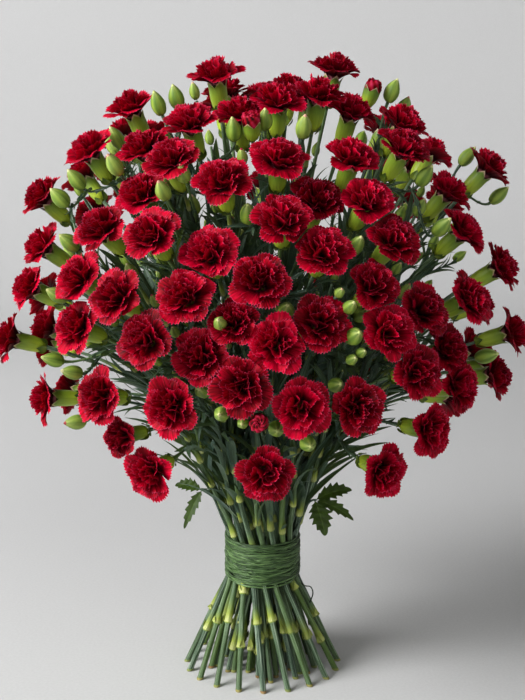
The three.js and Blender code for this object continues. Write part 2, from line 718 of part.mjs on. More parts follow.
function twigSolid(twig) {
  const { low, line, leaves } = twig;
  const sections = [[3, low, upright, twigRadius], ...tubeSections(line.curve, line.steps, 3, twigRadius)];
  let solid = skin(ringsAlong(sections, upright.clone().cross(low)));
  for (const leaf of leaves) solid = solid.add(toothedLeaf(spineAt(line, 0.96), leaf));
  return solid;
}

// The tie: a raffia band whose wraps stand out a little.
function tieSolid() {
  const grooveRadius = tieRadius - tieGroove;
  const profile = [new THREE.Vector2(tieBore, tieBottom), new THREE.Vector2(grooveRadius, tieBottom)];
  const wrap = (tieTop - tieBottom) / tieWraps;
  for (let k = 0; k < tieWraps; k += 1) {
    profile.push(new THREE.Vector2(tieRadius, tieBottom + (k + 0.5) * wrap));
    profile.push(new THREE.Vector2(grooveRadius, tieBottom + (k + 1) * wrap));
  }
  profile.push(new THREE.Vector2(tieBore, tieTop), new THREE.Vector2(tieBore, tieBottom));
  const ring = new THREE.LatheGeometry(profile, tieSides);
  ring.rotateX(Math.PI / 2);
  ring.deleteAttribute("normal");
  ring.deleteAttribute("uv");
  const merged = mergeVertices(ring, 1e-4);
  return solidFrom(merged.attributes.position.array, merged.index.array);
}

const heads = placeBlooms();
const sprays = planSprays(heads);
const wires = [];
for (const spray of sprays) {
  wires.push(wireOf(spray.line, stemRadius, spray.name));
  spray.stalks.forEach((stalk) => wires.push(wireOf(stalk.line, stalkRadius, spray.name)));
}
const plannedTwigs = twigs.map((twig) => planTwig(twig, sprays));
for (const { line, fork, leaves } of plannedTwigs) {
  wires.push({ ...wireOf(line, twigRadius, -1), leaf: true });
  for (const [tip, width] of leaves) {
    const points = [0.1, 0.3, 0.5, 0.7, 0.9].map((t) => point(...fork).lerp(point(...tip), t));
    wires.push({ points, radius: width / 2, spray: -1 });
  }
}
placeLeaves(sprays, heads, wires);
const buds = placeBuds(budPlaces(), heads, wires);

const meshes = [];
function addMesh(name, solid, look) {
  const { vertProperties, triVerts } = solid.getMesh();
  const geometry = new THREE.BufferGeometry();
  geometry.setAttribute("position", new THREE.BufferAttribute(vertProperties, 3));
  geometry.setIndex(new THREE.BufferAttribute(triVerts, 1));
  geometry.computeVertexNormals();
  const mesh = new THREE.Mesh(geometry, new THREE.MeshStandardMaterial({ ...look, flatShading: true }));
  mesh.name = name;
  meshes.push(mesh);
}

// One body: hollows that fusing seals are filled, and scraps are dropped.
function oneBody(solid) {
  return solid.decompose().reduce((best, body) => (body.volume() > best.volume() ? body : best));
}

const number = (n) => String(n + 1).padStart(2, "0");
const clusterCount = Math.max(...heads.map((head) => head.cluster)) + 1;
for (let cluster = 0; cluster < clusterCount; cluster += 1) {
  const own = heads.filter((head) => head.cluster === cluster);
  let solid = null;
  for (const head of own) {
    const partners = own.filter(
      (mate) => (mate.order === head.partner && mate !== head) || mate.partner === head.order,
    );
    const one = bloomSolid(head, partners);
    solid = solid ? solid.add(one) : one;
  }
  addMesh("petals_" + number(cluster), oneBody(solid), petalRed);
}
for (const spray of sprays) {
  let solid = stemSolid(spray);
  for (const stalk of spray.stalks) solid = solid.add(stalkSolid(stalk));
  for (const bud of buds.filter((one) => one.spray === spray.name)) solid = solid.add(budSolid(bud));
  for (const leaf of spray.leaves) solid = solid.add(leafSolid(leaf));
  addMesh("spray_" + number(spray.name), oneBody(solid), stemGreen);
}
addMesh("tie", tieSolid(), tieGreen);
for (const twig of plannedTwigs) addMesh(twig.name, oneBody(twigSolid(twig)), leafGreen);

// The origin lies under the middle of the whole bunch.
const bunch = new THREE.Group();
meshes.forEach((mesh) => bunch.add(mesh));
const box = new THREE.Box3().setFromObject(bunch, true);
const middle = box.getCenter(point(0, 0, 0));
meshes.forEach((mesh) => mesh.position.set(-middle.x, -middle.y, -box.min.z));
export default bunch;
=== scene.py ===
import math
from functools import partial

import bpy
import numpy as np
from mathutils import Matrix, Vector


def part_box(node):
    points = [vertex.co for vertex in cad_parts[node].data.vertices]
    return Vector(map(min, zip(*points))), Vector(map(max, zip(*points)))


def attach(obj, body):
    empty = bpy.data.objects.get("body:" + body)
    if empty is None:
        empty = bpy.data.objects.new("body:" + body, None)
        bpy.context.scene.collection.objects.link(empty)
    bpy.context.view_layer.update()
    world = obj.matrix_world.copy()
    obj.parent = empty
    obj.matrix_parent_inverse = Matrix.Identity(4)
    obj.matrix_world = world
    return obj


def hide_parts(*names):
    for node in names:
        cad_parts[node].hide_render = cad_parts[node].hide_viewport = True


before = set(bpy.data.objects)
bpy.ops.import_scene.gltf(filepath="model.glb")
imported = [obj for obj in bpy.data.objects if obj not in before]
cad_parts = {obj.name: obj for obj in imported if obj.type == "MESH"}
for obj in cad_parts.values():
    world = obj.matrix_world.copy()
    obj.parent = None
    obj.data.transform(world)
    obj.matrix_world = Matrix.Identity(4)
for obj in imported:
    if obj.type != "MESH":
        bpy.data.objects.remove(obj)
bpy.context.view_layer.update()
print("frame loaded:", len(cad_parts), "nodes")

# The plan of the bunch, in millimetres. It is worked out as the CAD works it out, so that every
# bloom, bud, stem and leaf lies on its own node.

ball = {
    "radius": 205,  # the blooms lie on a ball of this radius
    "height": 317,  # its middle above the cut ends
    "facingHeight": 232,  # the blooms face away from this height on the axis
    "lowestFacing": -0.15,  # no bloom nods further down than this
    "clearance": 1,  # kept round a bloom that stands free
    "pushStep": 2,  # a bloom that isn't clear moves back by this much at a time
    "furthestPush": 60,
    "backSpacing": 45,  # between the blooms of a cluster at the back
    "backVary": 5,  # how far those lie under the ball's face
    "seed": 20031,
}
bloom = {
    "radius": 21.5, "neck": 9, "cupLength": 24, "cupRadius": 6.6,
    "dome": 11, "domeOut": 15, "domeSlope": 1.3, "rimRise": 2, "under": 1.5,  # the room that its petals keep
    "stalkKept": 62,  # and how far down its stalk keeps its room
}
stem = {
    "radius": 2.55, "stalkRadius": 1.2, "footRadius": 66, "innerFootRadius": 47,
    "waistRadius": 27.2, "innerWaistRadius": 21.9, "spiral": 0.28, "outerStems": 20,
    "waistTwist": 0.45, "footTwist": 0.5, "forks": [0.6, 0.48, 0.36, 0.54, 0.42],
    "knots": [0, 0.2, 0.36, 0.48, 0.6, 0.8, 1],  # where the CAD stem has its rings
}
tie = {"bottom": 84, "top": 118, "radius": 32, "bore": 30.5, "sides": 20}
bud = {
    "length": 18, "radius": 5.2, "stalk": (22, 75),  # the shortest and the longest stalk
    "behind": 4,  # the ball's face
    "furthestPush": 50, "pushStep": 3,
}
leaf = {
    "width": 6.5,
    "trials": [[0.2, 62], [-0.5, 60], [0.7, 56], [-1, 50], [1.2, 48], [0.2, 44], [-0.6, 40]],
}
twig = {"radius": 1.1, "seatGap": 0.3}
eye = np.array([0.0, -950.0, 398.0])  # the front places below are as seen from here
upright = np.array([0.0, 0.0, 1.0])

# The front blooms, cluster by cluster: across and up on an upright sheet through the axis, how far
# behind the ball's face, and the size of one that is smaller than the rest.
frontSprays = [
    [[[12, 281, 0], [50, 298, 7], [-25, 299, 12, 0.85], [-18, 244, 0]]],
    [[[18, 387, 0], [52, 360, 0], [-2, 335, 0]]],
    [[[-45, 359, 0], [-94, 375, 0], [-66, 322, 4]]],
    [[[-34, 420, 0], [14, 438, 0], [46, 404, 10]]],
    [[[89, 403, 0], [76, 439, 0, 0.95], [112, 370, 0]]],
    [[[109, 292, 0], [96, 331, 4, 0.92], [135, 257, 0]]],
    [[[-53, 270, 5], [-101, 285, 0], [-80, 226, 0]]],
    [[[35, 225, 0], [83, 225, 0, 0.95]]],
    [[[-126, 322, 0], [-157, 338, 6], [-137, 380, 0], [-102, 409, 12], [-160, 296, 4]]],
    [[[160, 276, 3], [139, 310, 14], [178, 320, 0], [171, 244, 3], [147, 205, 0], [107, 168, 6]]],
    [[[-77, 438, 0], [-61, 468, 0], [-19, 475, 12], [-39, 507, 0]]],
    [[[47, 491, 0], [13, 486, 0], [74, 477, 14], [60, 511, 0]]],
    [[[119, 447, 0], [117, 468, 6]]],
    [[[-110, 480, 0], [-101, 447, 25], [-146, 445, 0]]],
    [[[-187, 365, 38], [-186, 406, 0], [-199, 330, 20]]],
    [[[-185, 295, 55], [-217, 286, 0]], [[-188, 234, 35]]],
    [[[-142, 235, 0], [-124, 199, 6, 0.7], [-99, 167, 0]]],
    [[[157, 411, 60], [190, 430, 0], [171, 378, 42], [203, 347, 4]]],
    [[[214, 291, 0], [201, 254, 0]]],
    [[[3, 166, 0]]],
]

# The clusters at the back: turn and rise of the middle bloom, in degrees, the number of heads, and
# how deep the cluster lies under the ball's face, because the crown is a little hollow.
backClusters = [
    [15, -14, 5, 0], [65, -12, 5, 0], [115, -14, 5, 0], [165, -12, 5, 0],
    [34, 35, 6, 0], [90, 29, 5, 0], [146, 35, 6, 0], [90, 80, 6, 25],
]

frontBuds = [
    [-86, 480], [-121, 452], [-123, 430], [-155, 418], [-169, 403], [-71, 485], [-24, 459],
    [-78, 419], [-12, 390], [34, 461], [107, 490], [116, 476], [89, 487], [170, 437], [135, 421],
    [197, 405], [-162, 366], [-173, 322], [-178, 267], [-162, 256], [-25, 315], [20, 309],
    [79, 364], [84, 306], [150, 379], [190, 270], [-160, 213], [-51, 241],
    [-3, 213], [12, 207], [39, 194], [63, 245],
]

# The leafy twigs beside the tie: turn round the axis in degrees, fork, tips and widths of the leaves.
twigRows = [
    ["leafy_twig_right", -22, [45, -19, 150],
     [[[53, -27, 121], 17], [[77, -22, 133], 10], [[76, -12, 157], 13]]],
    ["leafy_twig_left", 203, [-52, -22, 160], [[[-66, -27, 127], 9], [[-74, -16, 162], 11]]],
]


def seeded(state):
    while True:
        state = (state * 16807) % 2147483647
        yield state / 2147483647


planDraws = seeded(ball["seed"])


def vary(size):
    return (next(planDraws) * 2 - 1) * size


def unit(v):
    return v / math.sqrt(v @ v)


def length(v):
    return math.sqrt(v @ v)


def point(x, y, z):
    return np.array([x, y, z], dtype=float)


def outwardAt(turn, rise):
    # a direction from its turn round the axis and its rise, both in degrees
    turn, rise = math.radians(turn), math.radians(rise)
    return point(math.cos(turn) * math.cos(rise), math.sin(turn) * math.cos(rise), math.sin(rise))


def layOnBall(across, up, behind):
    sight = unit(point(across, 0, up) - eye)
    fromMiddle = eye - point(0, 0, ball["height"])
    half = fromMiddle @ sight
    under = half * half - fromMiddle @ fromMiddle + ball["radius"] ** 2
    reach = -half - math.sqrt(under) if under > 0 else -half
    return eye + sight * (reach + behind), sight


def facingAt(place):
    facing = unit(place - point(0, 0, ball["facingHeight"]))
    facing[2] = max(facing[2], ball["lowestFacing"])
    return unit(facing)


def sideways(facing):
    up = point(0, -1, 0) if abs(facing[2]) > 0.9 else upright
    return unit(np.cross(up, facing))


def bloomSpace(points, radii, place, facing, size):
    # which points lie in the petals and in the green parts, for any number of points and blooms
    offset = points - place
    rise = (offset * facing).sum(-1)
    out = np.sqrt(np.maximum(0, (offset * offset).sum(-1) - rise * rise))
    spare = ball["clearance"] + radii
    radius = bloom["radius"] * size
    neck = bloom["neck"]
    under = -neck + neck * np.minimum(out, radius) / radius - bloom["under"]
    over = bloom["dome"] - np.maximum(0, out - bloom["domeOut"]) * bloom["domeSlope"]
    over = np.maximum(over, bloom["rimRise"])
    petals = (out < radius + spare) & (rise > under - spare) & (rise < over + spare)
    width = np.where(rise > -neck - bloom["cupLength"], bloom["cupRadius"], stem["stalkRadius"])
    green = (rise <= -neck) & (rise >= -bloom["stalkKept"]) & (out < spare + width)
    return petals, green


def bloomSamples(head):
    # points on the petals, and down the cup and the stalk, that stand for the bloom in the tests
    side = sideways(head["facing"])
    other = np.cross(head["facing"], side)
    points, radii = [], []
    radius = bloom["radius"] * head["size"]
    for count, reach, rise, turn in ((16, radius, 0, 0), (8, radius * 0.66, 7, 0.4)):
        for i in range(count):
            angle = turn + i * 2 * math.pi / count
            around = side * (reach * math.cos(angle)) + other * (reach * math.sin(angle))
            points.append(head["place"] + head["facing"] * rise + around)
            radii.append(0)
    red = len(points)
    cup, stalk = bloom["cupRadius"], stem["stalkRadius"]
    below = ((-12, cup), (-20, cup * 0.94), (-28, cup * 0.76), (-38, stalk), (-48, stalk), (-58, stalk))
    for rise, width in below:
        points.append(head["place"] + head["facing"] * rise)
        radii.append(width)
    head["samples"] = np.array(points)
    head["radii"] = np.array(radii, dtype=float)
    head["inRed"] = np.arange(len(points)) < red


def meetsAny(head, placed):
    if not placed:
        return False
    known = {key: np.array([h[key] for h in placed])
             for key in ("place", "facing", "size", "cluster", "spray", "samples", "radii")}
    sameCluster, sameSpray = known["cluster"] == head["cluster"], known["spray"] == head["spray"]
    red, green = bloomSpace(head["samples"][:, None], head["radii"][:, None],
                            known["place"], known["facing"], known["size"])
    inRed = head["inRed"][:, None]
    if (red & ~(inRed & sameCluster)).any() or (green & ~(~inRed & sameSpray)).any():
        return True
    red, green = bloomSpace(known["samples"], known["radii"], head["place"], head["facing"], head["size"])
    inRed = head["inRed"][None]
    hitRed = red & ~(inRed & sameCluster[:, None])
    return bool(hitRed.any() or (green & ~(~inRed & sameSpray[:, None])).any())


def placeBlooms():
    wanted, cluster = [], 0
    for spray, clusters in enumerate(frontSprays):
        for rows in clusters:
            for order, (across, up, behind, *size) in enumerate(rows):
                wanted.append({"wanted": (across, up, behind), "size": size[0] if size else 1,
                               "order": order, "cluster": cluster, "spray": spray})
            cluster += 1
    heads = []
    for head in sorted(wanted, key=lambda row: row["wanted"][2]):
        head["place"], sight = layOnBall(*head["wanted"])
        head["facing"] = facingAt(head["place"])
        bloomSamples(head)
        pushed = 0
        while pushed < ball["furthestPush"] and meetsAny(head, heads):
            pushed += ball["pushStep"]
            head["place"] = head["place"] + sight * ball["pushStep"]
            head["facing"] = facingAt(head["place"])
            bloomSamples(head)
        heads.append(head)
    for number, (turn, rise, count, deep) in enumerate(backClusters):
        outward = outwardAt(turn, rise)
        side = sideways(outward)
        other = np.cross(outward, side)
        for order in range(count):
            angle = order * 2 * math.pi / (count - 1) + vary(0.2) + number
            reach = 0 if order == 0 else (ball["backSpacing"] + vary(2)) / ball["radius"]
            toward = side * math.cos(angle) + other * math.sin(angle)
            place = outward * math.cos(reach) + toward * math.sin(reach)
            place = place * (ball["radius"] - deep - abs(vary(ball["backVary"])))
            place = place + point(0, 0, ball["height"])
            head = {"place": place, "facing": facingAt(place), "size": 1, "order": order,
                    "cluster": cluster + number, "spray": len(frontSprays) + number}
            bloomSamples(head)
            if not meetsAny(head, heads):
                heads.append(head)
    heads.sort(key=lambda h: (h["cluster"], h["order"]))
    return heads


def curveAt(curve, t):
    a, b, c, d = curve
    s = 1 - t
    return a * (s * s * s) + b * (3 * s * s * t) + c * (3 * s * t * t) + d * (t * t * t)


def headingAt(curve, t):
    return unit(curveAt(curve, min(1, t + 0.01)) - curveAt(curve, max(0, t - 0.01)))


def spineAt(line, t):
    # the straight run between the rings of a CAD tube, which its stalks grow from
    curve, steps = line
    k = max(1, next(i for i, step in enumerate(steps) if step >= t))
    before, after = steps[k - 1], steps[k]
    start, end = curveAt(curve, before), curveAt(curve, after)
    return start + (end - start) * ((t - before) / (after - before))


def stalkLine(parent, t, foot, facing):
    start = spineAt(parent, t)
    far = length(foot - start)
    leaving = unit(headingAt(parent[0], t) + unit(foot - start) * 1.6)
    curve = [start, start + leaving * (far * 0.3), foot - facing * (far * 0.32), foot]
    return curve, [0, 0.5, 1]


def waistAt(radius, turn, height):
    lean = -stem["spiral"] * (height - (tie["bottom"] + tie["top"]) / 2) / radius
    return point(radius * math.cos(turn + lean), radius * math.sin(turn + lean), height)


def planSprays(heads):
    sprays = []
    for name in range(max(h["spray"] for h in heads) + 1):
        own = [h for h in heads if h["spray"] == name]
        middle = sum(h["place"] for h in own) / len(own)
        tilt = math.hypot(middle[0], middle[1]) / (middle[2] - tie["top"])
        sprays.append({"name": name, "own": own, "turn": math.atan2(middle[1], middle[0]), "tilt": tilt})
    for order, spray in enumerate(sorted(sprays, key=lambda s: -abs(s["tilt"]))):
        spray["outer"] = order < stem["outerStems"]
    slots = stem["outerStems"]
    step = 2 * math.pi / slots
    outer = sorted((s for s in sprays if s["outer"]), key=lambda s: s["turn"])
    start = sum(s["turn"] - k * step for k, s in enumerate(outer)) / slots
    for k, spray in enumerate(outer):
        spray["waist"] = start + k * step + stem["waistTwist"]
    taken = set()
    for spray in sorted((s for s in sprays if not s["outer"]), key=lambda s: s["turn"]):
        slot = math.floor((spray["turn"] - start) / step + 0.5)
        while (slot + slots) % slots in taken:
            slot += 1
        taken.add((slot + slots) % slots)
        spray["waist"] = start + slot * step + stem["waistTwist"]
    for spray in sprays:
        planSpray(spray)
    return sprays


def planSpray(spray):
    outer, waist = spray["outer"], spray["waist"]
    radius = stem["waistRadius"] if outer else stem["innerWaistRadius"]
    foot = stem["footRadius"] if outer else stem["innerFootRadius"]
    footTurn = waist + stem["footTwist"]
    main = spray["own"][0]
    calyxDepth = bloom["neck"] + bloom["cupLength"]
    top = main["place"] - main["facing"] * calyxDepth
    spray["outward"] = point(math.cos(waist), math.sin(waist), 0)
    spray["end"] = point(foot * math.cos(footTurn), foot * math.sin(footTurn), 0)
    spray["low"] = waistAt(radius, waist, tie["bottom"])
    high = spray["high"] = waistAt(radius, waist, tie["top"])
    spray["joint"] = 0.25 + 0.5 * next(planDraws)
    sideAway = point(math.sin(waist), -math.cos(waist), 0)
    leaving = unit(upright + spray["outward"] * (0.4 if outer else 0.15) + sideAway * stem["spiral"])
    far = length(high - top)
    curve = [high, high + leaving * (far * 0.33), top - main["facing"] * (far * 0.32), top]
    spray["line"] = (curve, stem["knots"])
    spray["stalks"] = []
    for head, fork in zip(spray["own"][1:], stem["forks"] * 2):
        line = stalkLine(spray["line"], fork, head["place"] - head["facing"] * calyxDepth, head["facing"])
        spray["stalks"].append({"head": head, "line": line})


class Wires:
    # what a bud or a leaf keeps clear of: the blooms, and each stem and stalk as a row of points

    def __init__(self, heads):
        self.rows = []
        self.places, self.facings, self.sizes, self.sprays = (
            np.array([h[key] for h in heads]) for key in ("place", "facing", "size", "spray"))

    def add(self, points, radius, spray, line=None):
        self.rows.append({"points": np.array(points), "radius": radius, "spray": spray, "line": line})
        self.points = np.concatenate([row["points"] for row in self.rows])
        self.radii, self.owners = (
            np.concatenate([np.full(len(row["points"]), float(row[key])) for row in self.rows])
            for key in ("radius", "spray"))

    def addLine(self, line, radius, spray, forks=True):
        self.add([spineAt(line, k / 24) for k in range(25)], radius, spray, line if forks else None)

    def isClear(self, at, radius, owner):
        red, green = bloomSpace(at, radius + 0.4, self.places, self.facings, self.sizes)
        if red.any() or (green & (self.sprays != owner)).any():
            return False
        gaps = np.sqrt(((self.points - at) ** 2).sum(1))
        return not ((gaps < radius + self.radii + 1.6) & (self.owners != owner)).any()


def budPlaces():
    places = [layOnBall(across, up, bud["behind"]) for across, up in frontBuds]
    for turn, rise, _, deep in backClusters:
        outward = outwardAt(turn + 17, rise + 9)  # between the blooms of the cluster
        reach = ball["radius"] - bud["behind"] - deep
        places.append((point(0, 0, ball["height"]) + outward * reach, -outward))
    return places


def joinBud(at, facing, wires):
    foot = at - facing * (bud["length"] / 2)
    choices = []
    for row in wires.rows:
        for t in (0.2, 0.36, 0.48, 0.6, 0.8) if row["line"] else ():
            start = spineAt(row["line"], t)
            gap = math.sqrt((start - foot) @ (start - foot))
            if bud["stalk"][0] < gap < bud["stalk"][1]:
                choices.append((gap, t, row))
    choices.sort(key=lambda choice: choice[0])
    for _, t, row in choices:
        line = stalkLine(row["line"], t, foot, facing)
        samples = [spineAt(line, u) for u in (0.3, 0.45, 0.6, 0.75, 0.9)]
        if not all(wires.isClear(spot, stem["stalkRadius"], row["spray"]) for spot in samples):
            continue
        own = wires.sprays == row["spray"]
        spots = np.array(samples[1:])[:, None]
        green = bloomSpace(spots, 1, wires.places[own], wires.facings[own], wires.sizes[own])[1]
        if not green.any():
            return {"at": at, "facing": facing, "line": line, "spray": row["spray"]}
    return None


def placeBuds(wires):
    buds = []
    for place, sight in budPlaces():
        for behind in range(0, bud["furthestPush"], bud["pushStep"]):
            at = place + sight * behind
            facing = facingAt(at)
            if not all(wires.isClear(at + facing * rise, bud["radius"], -1) for rise in (-6, 0, 6)):
                continue
            found = joinBud(at, facing, wires)
            if found:
                buds.append(found)
                wires.addLine(found["line"], stem["stalkRadius"], found["spray"])
                wires.add([at], bud["radius"] + 3, found["spray"])
                break
    return buds


def placeLeaves(sprays, wires):
    for spray in sprays:
        spray["leaves"] = []
        spots = [0.1, 0.26] if spray["name"] % 3 == 0 else [0.26]
        for t in spots if spray["outer"] else []:
            start = spineAt(spray["line"], t)
            heading = headingAt(spray["line"][0], t)
            out = unit(point(start[0], start[1], 0))
            side = unit(np.cross(out, heading))
            for sway, far in leaf["trials"]:
                away = out * math.cos(sway) + side * math.sin(sway)
                bend = start + heading * (far * 0.4) + away * (far * 0.16)
                late = start + heading * (far * 0.62) + away * (far * 0.42)
                tip = start + heading * (far * 0.7) + away * (far * 0.75)
                line = ([start, bend, late, tip], [0, 0.3, 0.68, 1])
                samples = [spineAt(line, u) for u in (0.25, 0.4, 0.55, 0.7, 0.85, 1)]
                if all(wires.isClear(spot, leaf["width"] / 2, spray["name"]) for spot in samples):
                    spray["leaves"].append({"line": line, "side": side})
                    wires.addLine(line, leaf["width"] / 2, spray["name"], forks=False)
                    break


def planTwigs(sprays):
    planned = []
    step = 2 * math.pi / stem["outerStems"]
    first = next(s for s in sprays if s["outer"])["waist"] + step / 2
    lean = stem["spiral"] * (tie["top"] - tie["bottom"]) / 2 / stem["waistRadius"]
    radius = tie["bore"] * math.cos(math.pi / tie["sides"]) - twig["radius"] - twig["seatGap"]
    for name, degrees, forkPlace, leaves in twigRows:
        turn = first + math.floor((math.radians(degrees) + lean - first) / step + 0.5) * step
        low = waistAt(radius, turn, tie["bottom"] + 10)
        high = waistAt(radius, turn, tie["top"])
        fork = point(*forkPlace)
        outward = unit(point(high[0], high[1], 0))
        far = length(high - fork)
        rise = unit(upright + outward * 0.9)
        curve = [high, high + rise * (far * 0.4), fork - outward * (far * 0.3), fork]
        planned.append({"name": name, "low": low, "leaves": leaves, "line": (curve, [0, 0.35, 0.7, 1])})
    return planned


heads = placeBlooms()
sprays = planSprays(heads)
wires = Wires(heads)
for spray in sprays:
    wires.addLine(spray["line"], stem["radius"], spray["name"])
    for stalk in spray["stalks"]:
        wires.addLine(stalk["line"], stem["stalkRadius"], spray["name"])
twigs = planTwigs(sprays)
for plan in twigs:
    wires.addLine(plan["line"], twig["radius"], -1, forks=False)
    fork = plan["line"][0][-1]
    for tip, width in plan["leaves"]:
        wires.add([fork + (point(*tip) - fork) * t for t in (0.1, 0.3, 0.5, 0.7, 0.9)], width / 2, -1)
placeLeaves(sprays, wires)
buds = placeBuds(wires)
strapLeaves = sum(len(s["leaves"]) for s in sprays)
print("planned:", len(heads), "blooms,", len(buds), "buds,", strapLeaves, "strap leaves")

# Meshes. Each point carries four measures that the finishes read: how far along the piece and across
# it the point lies, a tint drawn for each piece, and a tone that marks a part of it.

tieLow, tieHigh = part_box("tie")
shift = point((tieLow.x + tieHigh.x) * 500, (tieLow.y + tieHigh.y) * 500, tieLow.z * 1000 - tie["bottom"])
random = np.random.default_rng(7)
measures = ("along", "across", "tint", "tone")


def spread(low, high):
    return random.uniform(low, high)


def smooth(x):
    x = np.clip(x, 0, 1)
    return x * x * (3 - 2 * x)


def turns(sides):
    return np.arange(sides) * 2 * math.pi / sides


class Skin:
    # the faces of one piece, in millimetres

    def __init__(self):
        self.points, self.loops, self.sizes, self.finishes = [], [], [], []
        self.values = {name: [] for name in measures}
        self.count = 0

    def addFaces(self, faces, finish):
        faces = np.asarray(faces)
        self.loops.append(faces.reshape(-1))
        self.sizes.append(np.full(len(faces), faces.shape[1]))
        self.finishes.append(np.full(len(faces), finish))

    def grid(self, points, finish=0, closed=False, caps=(False, False), **values):
        rows, columns = points.shape[:2]
        flat = np.array(points, float).reshape(-1, 3)
        flat[:, 2] = np.maximum(flat[:, 2], 0)  # nothing goes under the floor
        self.points.append(flat)
        for name in measures:
            self.values[name].append(np.broadcast_to(values.get(name, 0.0), (rows, columns)).reshape(-1))
        start = self.count
        self.count += len(flat)
        index = start + np.arange(rows * columns).reshape(rows, columns)
        after = np.roll(index, -1, axis=1)
        if not closed:
            index, after = index[:, :-1], after[:, :-1]
        quads = np.stack([index[:-1], after[:-1], after[1:], index[1:]], axis=-1).reshape(-1, 4)
        self.addFaces(quads, finish)
        if caps[0]:
            self.addFaces([start + np.arange(columns)[::-1]], finish)
        if caps[1]:
            self.addFaces([start + (rows - 1) * columns + np.arange(columns)], finish)

    def piece(self, finishes, slot, node):
        # the finished mesh, which rides the bunch in place of its plain node
        mesh = bpy.data.meshes.new("fine_" + node)
        points = (np.concatenate(self.points) + shift) / 1000
        loops, sizes = np.concatenate(self.loops), np.concatenate(self.sizes)
        mesh.vertices.add(len(points))
        mesh.vertices.foreach_set("co", points.astype(np.float32).ravel())
        mesh.loops.add(len(loops))
        mesh.loops.foreach_set("vertex_index", loops.astype(np.int32))
        mesh.polygons.add(len(sizes))
        mesh.polygons.foreach_set("loop_start", (np.cumsum(sizes) - sizes).astype(np.int32))
        mesh.polygons.foreach_set("material_index", np.concatenate(self.finishes).astype(np.int32))
        mesh.polygons.foreach_set("use_smooth", np.ones(len(sizes), bool))
        for name, rows in self.values.items():
            layer = mesh.attributes.new(name, "FLOAT", "POINT")
            layer.data.foreach_set("value", np.concatenate(rows).astype(np.float32))
        mesh.update(calc_edges=True)
        mesh.validate()
        for finish in finishes:
            mesh.materials.append(finish)
        thing = bpy.data.objects.new("fine_" + node, mesh)
        bpy.context.scene.collection.objects.link(thing)
        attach(thing, "root")
        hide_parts(node)
        return len(sizes)


def framesAlong(points, first):
    # the heading at each point and two directions square to it, which turn no more than the line does
    heading = np.gradient(points, axis=0)
    heading /= np.linalg.norm(heading, axis=1)[:, None]
    side = np.empty_like(points)
    last = np.asarray(first, float)
    for k, direction in enumerate(heading):
        last = last - direction * (last @ direction)
        last = last / math.sqrt(last @ last)
        side[k] = last
    return heading, side, np.cross(heading, side)


def addTube(skin, points, radii, sides, finish, caps=(True, True), **values):
    points = np.asarray(points, float)
    start = unit(points[1] - points[0])
    first = unit(np.cross(upright if abs(points[1][2] - points[0][2]) < 0.9 else point(1, 0, 0), start))
    _, side, other = framesAlong(points, first)
    turn = turns(sides)
    around = side[:, None] * np.cos(turn)[None, :, None] + other[:, None] * np.sin(turn)[None, :, None]
    ring = points[:, None] + around * np.broadcast_to(radii, len(points))[:, None, None]
    values = {name: np.broadcast_to(np.asarray(v, float)[..., None] if np.ndim(v) else v, ring.shape[:2])
              for name, v in values.items()}
    skin.grid(ring, finish, closed=True, caps=caps, across=turn / (2 * math.pi), **values)


def addLathe(skin, base, axis, profile, sides, finish, wobble=(0, 0), **values):
    side = sideways(axis)
    turn = turns(sides)
    rise, out = (np.broadcast_to(np.array(row, float)[:, None] + more, (len(profile), sides))
                 for row, more in zip(zip(*profile), wobble))
    around = side * np.cos(turn)[:, None] + np.cross(axis, side) * np.sin(turn)[:, None]
    ring = base + axis * rise[..., None] + around[None] * out[..., None]
    along = np.linspace(0, 1, len(profile))[:, None]
    across = turn / (2 * math.pi)
    skin.grid(ring, finish, closed=True, caps=(True, False), along=along, across=across, **values)


def addBlade(skin, points, widths, side, finish, columns=5, keel=0.25, **values):
    points = np.asarray(points, float)
    _, across, up = framesAlong(points, side)
    u = np.linspace(-1, 1, columns)
    half = np.asarray(widths)[:, None] / 2
    place = points[:, None] + across[:, None] * (u * half)[..., None]
    place = place + up[:, None] * (np.abs(u) * half * keel)[..., None]
    along = np.linspace(0, 1, len(points))[:, None]
    skin.grid(place, finish, along=along, across=u[None], **values)


def curvePoints(line, count):
    return np.array([curveAt(line[0], t) for t in np.linspace(0.0, 1.0, count)])


def throughPoints(knots, steps):
    # a smooth line through all the knots
    padded = np.vstack([2 * knots[0] - knots[1], knots, 2 * knots[-1] - knots[-2]])
    points = []
    for k in range(1, len(padded) - 2):
        a, b, c, d = padded[k - 1:k + 3]
        for t in np.arange(steps) / steps:
            points.append(0.5 * (2 * b + (c - a) * t + (2 * a - 5 * b + 4 * c - d) * t * t
                                 + (3 * b - a - 3 * c + d) * t ** 3))
    points.append(padded[-2])
    return np.array(points)


def evenly(points, pitch):
    # the same line again with points a pitch apart
    lengths = np.concatenate([[0], np.cumsum(np.linalg.norm(np.diff(points, axis=0), axis=1))])
    wanted = np.linspace(0, lengths[-1], max(8, int(lengths[-1] / pitch)))
    return np.stack([np.interp(wanted, lengths, points[:, k]) for k in range(3)], axis=-1), wanted


# What every finish is made with.


def linear(colour):
    parts = [int(colour[k:k + 2], 16) / 255 for k in (1, 3, 5)]
    return tuple(c / 12.92 if c <= 0.04045 else ((c + 0.055) / 1.055) ** 2.4 for c in parts) + (1.0,)


